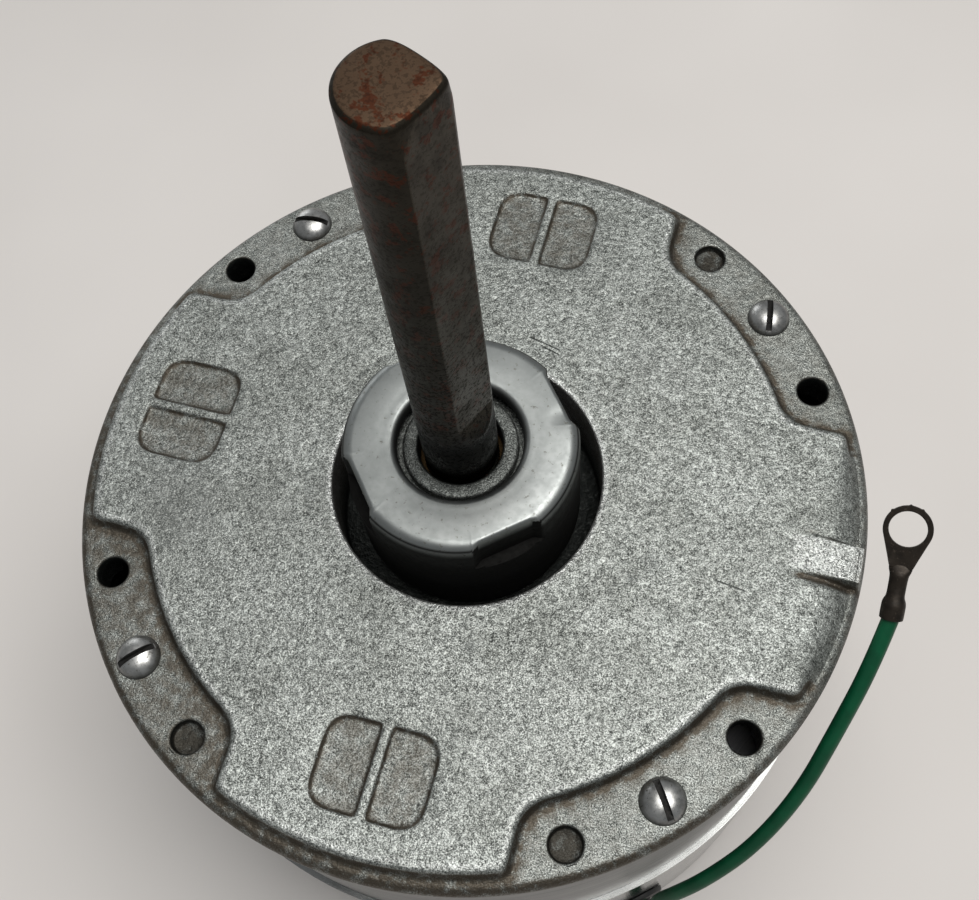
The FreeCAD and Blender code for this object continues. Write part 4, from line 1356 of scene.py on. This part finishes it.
# ---- shaft ---------------------------------------------------------------------------------
@dataclass
class Shaft:
    """Ground shaft with two flats at a right angle, a chamfered tip and turned grooves."""

    radius: float = 6.35
    flat: float = 5.08
    flats: Sequence[float] = (-26.0, 64.0)
    flat_start: float = 131.0
    runout: float = 5.0
    tip_ease: float = 206.2

    def radii(self, angles: Array, heights: Array, base: Array) -> Array:
        """Radius at each height and angle.

        Formula: the smallest of the turned radius and d / cos(turn from a flat's middle), with
        d falling from just over the radius at the flats' start to the flats' distance at the
        end of their run-out; the corners are rounded, most of all at the worn tip.

        Args:
            angles: angles in radians.
            heights: height of each row.
            base: turned radius of each row.

        Returns:
            Radii of shape (rows, angles).
        """
        share = np.clip((heights - self.flat_start) / self.runout, 0.0, 1.0)
        distance = (self.radius + 0.06) * (1 - share) + self.flat * share
        distance = np.where(heights < self.flat_start, self.radius + 3.0, distance)
        result = np.repeat(base[:, None], angles.size, axis=1)
        ease = (0.08 + 1.7 * smoothstep(self.tip_ease - 5.0, self.tip_ease + 0.6,
                                        heights))[:, None]
        for middle in self.flats:
            turn = turn_from(middle, angles)
            near = np.abs(turn) < 1.2
            reach = distance[:, None] / np.cos(np.where(near, turn, 0.0))[None, :]
            reach = np.where(near[None, :], reach, self.radius + 3.0)
            result = rounded_min(result, reach, ease)
        return result

    def build(self) -> bpy.types.Object:
        """Makes the shaft.

        Returns:
            The finished piece.
        """
        low, high = (float(c[2]) for c in corners("shaft"))
        rings_low, rings_high = (float(c[2]) for c in corners("retaining_rings"))
        half = math.degrees(math.acos(self.flat / self.radius))
        extra = [m + s * half + d for m in self.flats for s in (-1, 1) for d in (-0.7, 0.0, 0.7)]
        degrees = np.unique(np.round(np.concatenate([np.arange(-180, 180, 2.0), extra]), 5))
        angles = np.radians(np.append(degrees, degrees[0]))
        r = self.radius
        steps: list[tuple[float, float]] = [(0.0, low), (r - 0.7, low), (r - 0.12, low + 0.6),
                                            (r, low + 0.8)]
        for start, end in ((rings_low - 0.05, rings_low + 1.05),
                           (rings_high - 1.05, rings_high + 0.05)):
            steps += [(r, start - 0.02), (r - 0.75, start + 0.02), (r - 0.75, end - 0.02),
                      (r, end + 0.02)]
        oil = FACE + NOSE_RISE
        steps += [(r, oil - 3.05), (r - 0.3, oil - 2.95), (r - 0.3, oil - 0.05), (r, oil + 0.05)]
        steps += [(r, z) for z in np.arange(self.flat_start - 0.6, 136.3, 0.18)]
        steps += [(r, z) for z in np.linspace(137.0, high - 6.5, 9)]
        steps += [(r, z) for z in np.linspace(high - 5.8, high - 0.9, 10)]
        steps += [(r - 0.05, high - 0.62), (r - 0.28, high - 0.3), (r - 0.62, high - 0.06),
                  (r - 0.9, high), (r * 0.5, high), (0.0, high)]
        base, heights = np.array(steps).T
        radius = self.radii(angles, heights, base)
        tip = np.minimum(1.0, base / r)[:, None]
        cut = np.where(heights[:, None] > self.tip_ease, self.radii(
            angles, np.full_like(heights, high), np.full_like(heights, r)) * tip, radius)
        radius = np.where(base[:, None] == 0, 0.0, cut)
        skin = Skin("output_shaft")
        skin.grid(ring_of(angles, radius, heights[:, None]))
        piece = skin.build(25.0)
        paint(piece, "flat", self.flatness)
        return settle(piece, Body.ROTOR, "shaft_steel", "shaft")

    def flatness(self, places: Array) -> Array:
        """1 on the two flats, 0 on the round and at the tip.

        Args:
            places: vertices in millimetres, of shape (vertices, 3).

        Returns:
            A share from 0 to 1 for each vertex.
        """
        x, y, z = places.T
        on_flat = np.zeros_like(x)
        fallen = np.clip((z - self.flat_start) / self.runout, 0.0, 1.0)
        distance = (self.radius + 0.06) * (1 - fallen) + self.flat * fallen
        for middle in self.flats:
            turn = math.radians(middle)
            depth = x * math.cos(turn) + y * math.sin(turn)
            on_flat = np.maximum(on_flat, (np.abs(depth - distance) < 0.06) * 1.0)
        return np.where((z > self.flat_start + 0.6) & (z < self.tip_ease), on_flat, 0.0)


# ---- housing -------------------------------------------------------------------------------
@dataclass
class Shell:
    """Rolled steel shell between the two end shields."""

    ease: float = 0.35
    wall: float = 1.5
    end_rows: float = 0.7

    def build(self) -> bpy.types.Object:
        """Makes the shell from its turned section.

        Returns:
            The finished piece.
        """
        low, high = corners("shell")
        outer = float(high[0])
        inner, bottom, top = outer - self.wall, float(low[2]), float(high[2])
        middle = [(outer, z) for z in np.linspace(bottom + self.end_rows, top - self.end_rows,
                                                  9)]
        section = softened([(inner, bottom), (outer, bottom), *middle, (outer, top),
                            (inner, top)], self.ease)
        skin = Skin("motor_shell")
        skin.grid(turned(section, 360))
        return settle(skin.build(40.0), Body.STATOR, "bright_steel", "shell")


@dataclass
class ThroughBolts:
    """Four long slotted round-head bolts that clamp the end shields."""

    circle: float = 64.1
    head: float = 3.85
    rise: float = 2.3
    slot: float = 1.1
    slot_depth: float = 1.25
    shank: float = 2.08
    pitch: float = 0.8
    thread_depth: float = 0.3
    threaded: float = 14.0
    places: Sequence[float] = (45.0, 135.0, 225.0, 315.0)
    slots: Sequence[float] = (98.0, 7.0, 46.0, -56.0)

    def dome(self, r: Array) -> Array:
        """Height of the head at a distance from its axis: rise (1 - (r / R)^2.4)^0.6."""
        return self.rise * np.maximum(1 - np.minimum(r / self.head, 1.0) ** 2.4, 0.0) ** 0.6

    def head_grid(self) -> Array:
        """Domed head with a slot along its own x axis.

        Formula: y runs across the slot and x = u sqrt(R^2 - y^2); the dome's height is cut to
        the slot's floor between the slot's sides. The grid goes over the top and back under
        the flat base.

        Returns:
            Grid of points about the head's own axis.
        """
        edge = self.slot / 2
        across = np.concatenate([
            -self.head * np.cos(np.linspace(0.0, math.acos(edge / self.head), 13)),
            [-edge + 0.05, 0.0, edge - 0.05],
            self.head * np.cos(np.linspace(math.acos(edge / self.head), 0.0, 13))])
        floor_rows = np.abs(across) < edge - 0.01
        u = np.sin(np.linspace(-math.pi / 2, math.pi / 2, 29))
        half = np.sqrt(np.maximum(self.head ** 2 - across ** 2, 0.0))
        x, y = half[:, None] * u[None, :], np.repeat(across[:, None], u.size, axis=1)
        dome = self.dome(np.hypot(x, y))
        floor = np.minimum(dome, self.rise - self.slot_depth)
        z = np.where(floor_rows[:, None], floor, dome)
        top = np.stack([x, y, z], axis=-1)
        under = np.stack([x[:, ::-1], y[:, ::-1], np.zeros_like(z)], axis=-1)
        return np.concatenate([top, under[:, 1:]], axis=1)

    def shank_grid(self, bottom: float, top: float) -> Array:
        """Shank with a rolled thread on its lower end.

        Formula: the radius falls from the shank's by up to the thread's depth as a triangle
        wave of height / pitch - turn / (2 pi), faded in over the thread's last turn.

        Args:
            bottom: height of the lower end.
            top: height of the upper end.

        Returns:
            Grid of points about the shank's own axis.
        """
        thread = np.arange(bottom, bottom + self.threaded, self.pitch / 5)
        plain = [bottom + self.threaded + 1, top, top]
        heights = np.concatenate([[bottom, bottom], thread[1:], plain])
        angles = np.linspace(0.0, 2 * math.pi, 25)
        phase = (heights[:, None] / self.pitch - angles[None, :] / (2 * math.pi)) % 1.0
        wave = np.abs(phase - 0.5) * 2
        fade = 1 - smoothstep(bottom + self.threaded - 1.0, bottom + self.threaded, heights)
        radius = self.shank - self.thread_depth * wave * fade[:, None]
        radius[1] = np.minimum(radius[1], self.shank - self.thread_depth)
        radius[0] = radius[-1] = 0.0
        return ring_of(angles, radius, heights[:, None])

    def build(self) -> bpy.types.Object:
        """Makes the four bolts as one piece.

        Returns:
            The finished piece.
        """
        low, high = corners("through_bolts")
        seat = float(high[2]) - self.rise
        skin = Skin("through_bolts_turned")
        for angle, slot in zip(self.places, self.slots):
            turn, spin = math.radians(angle), math.radians(slot)
            head = self.head_grid()
            x, y = head[..., 0].copy(), head[..., 1].copy()
            head[..., 0] = x * math.cos(spin) - y * math.sin(spin)
            head[..., 1] = x * math.sin(spin) + y * math.cos(spin)
            centre = np.array([self.circle * math.cos(turn), self.circle * math.sin(turn), 0.0])
            skin.grid(head + centre + np.array([0.0, 0.0, seat]))
            skin.grid(self.shank_grid(float(low[2]), seat + 0.4) + centre)
        piece = skin.build(40.0)
        paint(piece, "grime_and_shade", lambda p: self.grime_and_shade(p, seat))
        return settle(piece, Body.STATOR, "screw_steel", "through_bolts")

    def grime_and_shade(self, points: Array, seat: float) -> Array:
        """Painted shade in the slots and around each head's foot.

        Args:
            points: vertices in millimetres, of shape (vertices, 3).
            seat: height of the heads' undersides.

        Returns:
            A share from 0 to 1 for each vertex.
        """
        turn = np.round((np.degrees(np.arctan2(points[:, 1], points[:, 0])) - 45) / 90) * 90 + 45
        centre = self.circle * np.stack([np.cos(np.radians(turn)), np.sin(np.radians(turn))], -1)
        r = np.hypot(*(points[:, :2] - centre).T)
        level = points[:, 2] - seat
        # Painted shade: the slots and a band at each head's foot go near-black.
        in_slot = (level < self.dome(r) - 0.1) & (level > 0.2)
        foot = np.exp(-(level / 0.7) ** 2)
        return np.clip(in_slot * 0.9 + foot * 0.8, 0.0, 1.0)


# ---- ground lead ---------------------------------------------------------------------------
@dataclass
class GroundLead:
    """Green stranded lead from its grommet to the ring terminal."""

    diameter: float = 2.8
    length: float = 106.8
    route: Sequence[tuple[float, float, float]] = (
        (0.04768, -0.05389, 0.02431), (0.04940, -0.05584, 0.02650),
        (0.05043, -0.05700, 0.02970), (0.05043, -0.05720, 0.03410),
        (0.04979, -0.05608, 0.03960), (0.05000, -0.05445, 0.04560),
        (0.05260, -0.05310, 0.05240), (0.05730, -0.04980, 0.06020),
        (0.06367, -0.04325, 0.06957), (0.06877, -0.03410, 0.08101),
        (0.07127, -0.02447, 0.09288), (0.07354, -0.01506, 0.10270),
        (0.07448, -0.00789, 0.10800))

    def build(self) -> bpy.types.Object:
        """Makes the lead as one smooth curve.

        Returns:
            The finished piece.
        """
        curve = bpy.data.curves.new("ground_lead_insulation", "CURVE")
        curve.dimensions = "3D"
        spline = curve.splines.new("NURBS")
        spline.points.add(len(self.route) - 1)
        flat = [number for point in self.route for number in (*point, 1.0)]
        spline.points.foreach_set("co", flat)
        spline.order_u = 3
        spline.use_endpoint_u = True
        spline.resolution_u = 12
        curve.bevel_depth = self.diameter / 2 * MM
        curve.bevel_resolution = 6
        curve.use_fill_caps = True
        piece = bpy.data.objects.new("ground_lead_insulation", curve)
        bpy.context.scene.collection.objects.link(piece)
        return settle(piece, Body.STATOR, "green_insulation", "ground_lead")


@dataclass
class RingTerminal:
    """Crimped ring terminal: bell, crimped barrel, tapering tongue and thin ring."""

    start: tuple[float, float, float] = (74.48, -7.89, 108.0)
    along: tuple[float, float, float] = (-1.1, 11.85, 9.0)
    toward: tuple[float, float, float] = (-0.162, -0.399, 0.903)
    ring_distance: float = 14.9
    hole: float = 2.98
    ring: float = 3.88
    plate: float = 0.8
    shoulder: float = 6.5
    shoulder_half: float = 1.8
    nibs: Profile = ((87.0, 0.16), (117.0, 0.14), (42.0, 0.20))
    crimp: Sequence[tuple[float, float, float]] = (
        (-0.2, 1.90, 1.88), (0.4, 1.93, 1.90), (2.2, 1.92, 1.88), (2.8, 1.80, 1.70),
        (3.3, 1.52, 1.50), (4.0, 1.44, 1.30), (5.2, 1.44, 1.12), (6.4, 1.46, 1.22),
        (7.2, 1.52, 1.30), (7.8, 1.74, 1.10), (8.4, 1.88, 0.72), (8.9, 1.76, 0.42))

    def axes(self) -> tuple[Array, Array, Array]:
        """Across, normal and along directions of the terminal.

        Returns:
            Three unit vectors.
        """
        along = np.array(self.along) / np.linalg.norm(self.along)
        normal = np.array(self.toward) - along * float(np.dot(self.toward, along))
        normal = normal / np.linalg.norm(normal)
        return np.cross(normal, along), normal, along

    def placed(self, local: Array) -> Array:
        """Turns (across, normal, along) coordinates into the part's axes."""
        across, normal, along = self.axes()
        return (local[..., :1] * across + local[..., 1:2] * normal + local[..., 2:] * along
                + np.array(self.start))

    def flat_part(self) -> Array:
        """Ring and tongue.

        Formula: about the ring's centre the outline is the circle, except between the tangents
        to the tongue's shoulders, where it is ring / (normal . direction), and across the
        tongue's end, where it is shoulder / -sin. The tongue's sides curl up towards the
        barrel, and small nibs stand on the ring's edge.

        Returns:
            Grid of (across, normal, along) points.
        """
        turn = np.linspace(0.0, 2 * math.pi, 145)
        turn[-1] = turn[0]
        u, v = np.cos(turn), np.sin(turn)
        far = math.hypot(self.shoulder_half, self.shoulder)
        lean = math.acos(self.ring / far) - math.atan2(self.shoulder, self.shoulder_half)
        outer = np.full_like(turn, self.ring)
        side = v < math.sin(lean)
        tangent = self.ring / np.maximum(np.abs(u) * math.cos(lean) + v * math.sin(lean), 1e-6)
        outer = np.where(side, tangent, outer)
        end = self.shoulder / np.maximum(-v, 1e-6)
        outer = np.where(v < 0, np.minimum(outer, np.where(v < -0.1, end, outer)), outer)
        for nib, size in self.nibs:
            gap = np.abs(np.degrees(turn) - nib)
            outer = outer + size * np.exp(-(gap / 3.0) ** 4)
        half = self.plate / 2
        inner = np.full_like(turn, self.hole)
        rows = [(outer - 0.12, half), (outer, half - 0.15), (outer, -half + 0.15),
                (outer - 0.12, -half), ((outer + inner) / 2, -half), (inner + 0.1, -half),
                (inner, -half + 0.12), (inner, half - 0.12), (inner + 0.1, half),
                ((outer + inner) / 2, half), (outer - 0.12, half)]
        grid = np.array([np.stack([r * u, np.full_like(r, n), r * v], axis=-1)
                         for r, n in rows])
        curl = smoothstep(4.6, self.shoulder + 0.4, -grid[..., 2])
        grid[..., 1] += curl * 0.30 * (grid[..., 0] / self.shoulder_half) ** 2
        grid[..., 2] += self.ring_distance
        return grid

    def tube_part(self) -> Array:
        """Bell and barrel: ellipses whose half axes follow the crimp along the terminal.

        Formula: point (s, t) is (a(s) cos t, b(s) sin t, s), with a and b read off a table by
        linear interpolation and then smoothed; the ends close on the axis and the bell's end
        is hollow.

        Returns:
            Grid of (across, normal, along) points.
        """
        places, across, through = np.array(self.crimp).T
        s = np.linspace(places[0], places[-1], 44)
        a, b = np.interp(s, places, across), np.interp(s, places, through)
        ease = np.array([0.25, 0.5, 0.25])
        a[1:-1], b[1:-1] = np.convolve(a, ease, "valid"), np.convolve(b, ease, "valid")
        s = np.concatenate([[0.9, 0.9, -0.1, -0.2], s, [8.95]])
        a = np.concatenate([[0.0, 1.43, 1.43, 1.6], a, [0.0]])
        b = np.concatenate([[0.0, 1.43, 1.43, 1.6], b, [0.0]])
        turn = np.linspace(0.0, 2 * math.pi, 49)
        turn[-1] = turn[0]
        return np.stack([np.outer(a, np.cos(turn)), np.outer(b, np.sin(turn)),
                         np.repeat(s[:, None], turn.size, axis=1)], axis=-1)

    def build(self) -> bpy.types.Object:
        """Makes the terminal.

        Returns:
            The finished piece.
        """
        skin = Skin("ring_terminal_crimped")
        skin.grid(self.placed(self.flat_part()))
        skin.grid(self.placed(self.tube_part()))
        return settle(skin.build(40.0), Body.STATOR, "tinned_copper", "ring_terminal")


@dataclass
class LeadGrommet:
    """Rubber snap bushing whose sloping lip turns the lead upward."""

    angle: float = -48.5
    height: float = 22.0
    tilt: float = 40.0
    wall_outer: float = 70.5
    wall_inner: float = 67.9

    def outward(self, local: Array) -> Array:
        """Turns (outward, sideways, up) coordinates into the part's axes.

        Args:
            local: points, of shape (..., 3).

        Returns:
            The same points on the part's axes.
        """
        turn = math.radians(self.angle)
        out = np.array([math.cos(turn), math.sin(turn), 0.0])
        side = np.array([-math.sin(turn), math.cos(turn), 0.0])
        return (local[..., :1] * out + local[..., 1:2] * side
                + local[..., 2:] * np.array([0.0, 0.0, 1.0]))

    def build(self) -> bpy.types.Object:
        """Makes the bushing: a turned body that follows the wall, and a sloping lip.

        Formula: the body's section is turned about the outward axis, and each point moves in by
        R - sqrt(R^2 - side^2) to follow the wall; the lip's rings stand square to the slope.

        Returns:
            The finished piece.
        """
        section = softened([(0.0, 66.5), (5.0, 66.5), (5.1, 67.5), (4.1, 67.6), (4.1, 70.6),
                            (5.8, 70.6), (5.5, 71.6), (2.6, 71.75), (0.0, 71.75)], 0.3)[4:-4]
        body = turned([(0.0, 66.5), *section, (0.0, 71.75)], 48)  # sharp on the axis
        local = np.stack([body[..., 2], body[..., 0], body[..., 1]], axis=-1)
        local[..., 0] -= self.wall_outer - np.sqrt(self.wall_outer ** 2 - local[..., 1] ** 2)
        local[..., 2] += self.height
        skin = Skin("lead_grommet_rubber")
        skin.grid(self.outward(local))
        slope = math.radians(self.tilt)
        lip = softened([(1.45, 0.9), (2.95, 0.9), (2.3, 3.6), (1.45, 3.6)], 0.35)
        tube = turned(lip, 40)
        pivot = (self.wall_outer + self.wall_inner) / 2
        along, rise = tube[..., 2], tube[..., 0]
        local = np.stack([pivot + along * math.cos(slope) - rise * math.sin(slope),
                          tube[..., 1],
                          self.height + along * math.sin(slope) + rise * math.cos(slope)],
                         axis=-1)
        skin.grid(self.outward(local))
        return settle(skin.build(40.0), Body.STATOR, "grommet_rubber", "lead_grommet")


# ---- surroundings --------------------------------------------------------------------------
@dataclass
class Studio:
    """Camera, pale floor and soft lights."""

    lens: float = 45.475
    eye: tuple[float, float, float] = (0.039605, -0.079383, 0.305428)
    right: tuple[float, float, float] = (0.96045, 0.27133, -0.06249)
    up: tuple[float, float, float] = (-0.22186, 0.88138, 0.41706)
    back: tuple[float, float, float] = (0.16824, -0.38670, 0.90673)
    sensor: float = 36.0
    floor_size: float = 3.0
    paper: tuple[Colour, Colour] = ((0.62, 0.59, 0.565), (0.67, 0.64, 0.615))
    glow_colour: Colour = (0.95, 0.98, 1.0)
    glow: float = 0.30

    def camera(self) -> None:
        """Sets the camera."""
        lens = bpy.data.cameras.new("camera")
        lens.lens, lens.sensor_width = self.lens, self.sensor
        lens.clip_start, lens.clip_end = 0.005, 10.0
        view = bpy.data.objects.new("camera", lens)
        axes = Matrix((self.right, self.up, self.back)).transposed().to_4x4()
        axes.translation = self.eye
        view.matrix_world = axes
        bpy.context.scene.collection.objects.link(view)
        bpy.context.scene.camera = view

    def floor(self) -> None:
        """Lays the pale floor."""
        side = np.linspace(-self.floor_size / 2, self.floor_size / 2, 3)
        x, y = np.meshgrid(side, side)
        points = np.stack([x, y, np.zeros_like(x)], axis=-1)
        mesh = bpy.data.meshes.new("floor")
        index = np.arange(9).reshape(3, 3)
        cells = np.stack([index[:-1, :-1], index[:-1, 1:], index[1:, 1:], index[1:, :-1]], -1)
        mesh.from_pydata(points.reshape(-1, 3).tolist(), [], cells.reshape(-1, 4).tolist())
        floor = bpy.data.objects.new("floor", mesh)
        bpy.context.scene.collection.objects.link(floor)
        s = Shader("floor_paper")
        cloud = s.noise(160.0, 3.0, 0.5)
        colour = s.ramp(cloud, (0.35, self.paper[0]), (0.65, self.paper[1]))
        mesh.materials.append(s.finish(Base_Color=colour, Roughness=0.85,
                                       Normal=s.bump(s.noise(60.0), 0.8)))

    def panel(self, name: str, place: tuple[float, float, float], size: float, power: float,
              colour: Colour) -> None:
        """Adds a square light that faces the middle of the object.

        Args:
            name: name of the light.
            place: its middle.
            size: its width.
            power: its power in watts.
            colour: its colour.
        """
        lamp = bpy.data.lights.new(name, "AREA")
        lamp.shape, lamp.size, lamp.energy, lamp.color = "SQUARE", size, power, colour
        holder = bpy.data.objects.new(name, lamp)
        aim = np.array([0.0, 0.0, 0.1]) - np.array(place)
        back = -aim / np.linalg.norm(aim)
        right = np.cross([0.0, 0.0, 1.0], back)
        right = right / np.linalg.norm(right)
        axes = Matrix((right.tolist(), np.cross(back, right).tolist(),
                       back.tolist())).transposed().to_4x4()
        axes.translation = place
        holder.matrix_world = axes
        bpy.context.scene.collection.objects.link(holder)

    def lights(self) -> None:
        """Hangs the lights and sets the room's glow."""
        world = bpy.data.worlds.new("room")
        bpy.context.scene.world = world
        world.use_nodes = True
        glow = world.node_tree.nodes["Background"]
        glow.inputs["Color"].default_value = (*self.glow_colour, 1.0)
        glow.inputs["Strength"].default_value = self.glow
        self.panel("overhead", (0.15, 0.06, 0.86), 0.55, 6.4, (1.0, 0.985, 0.96))
        self.panel("back_card", (-1.3, 1.2, 0.45), 0.9, 5.0, (0.97, 0.99, 1.0))
        bpy.context.scene.view_settings.view_transform = "Standard"


# ---- the whole object ----------------------------------------------------------------------
def dress_frame(replaced: set[str]) -> None:
    """Gives every CAD node that still shows the finish of its own slot.

    Args:
        replaced: nodes that a new piece stands for.
    """
    for entry in frame["record"]["subparts"]:
        name, slot = entry["node"], entry["material_slot"]
        if name in replaced:
            continue
        node = frame["nodes"][name]
        if not node.material_slots:
            node.data.materials.append(None)
        for place in node.material_slots:
            place.material = finish_of(slot)


def main() -> None:
    """Builds the pieces in order."""
    logging.basicConfig(level=logging.INFO, format="%(name)s %(message)s")
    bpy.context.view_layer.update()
    studio = Studio()
    studio.camera()
    lead = GroundLead()
    cable = lead.build()
    terminal, grommet = RingTerminal().build(), LeadGrommet().build()
    DriveEndShield().build()
    BearingCap().build()
    Shaft().build()
    Shell().build()
    ThroughBolts().build()
    dress_frame({"ground_lead", "ring_terminal", "lead_grommet", "drive_end_shield",
                 "drive_bearing_cap", "shaft", "shell", "through_bolts"})
    studio.floor()
    studio.lights()


if __name__ == "__main__":
    main()
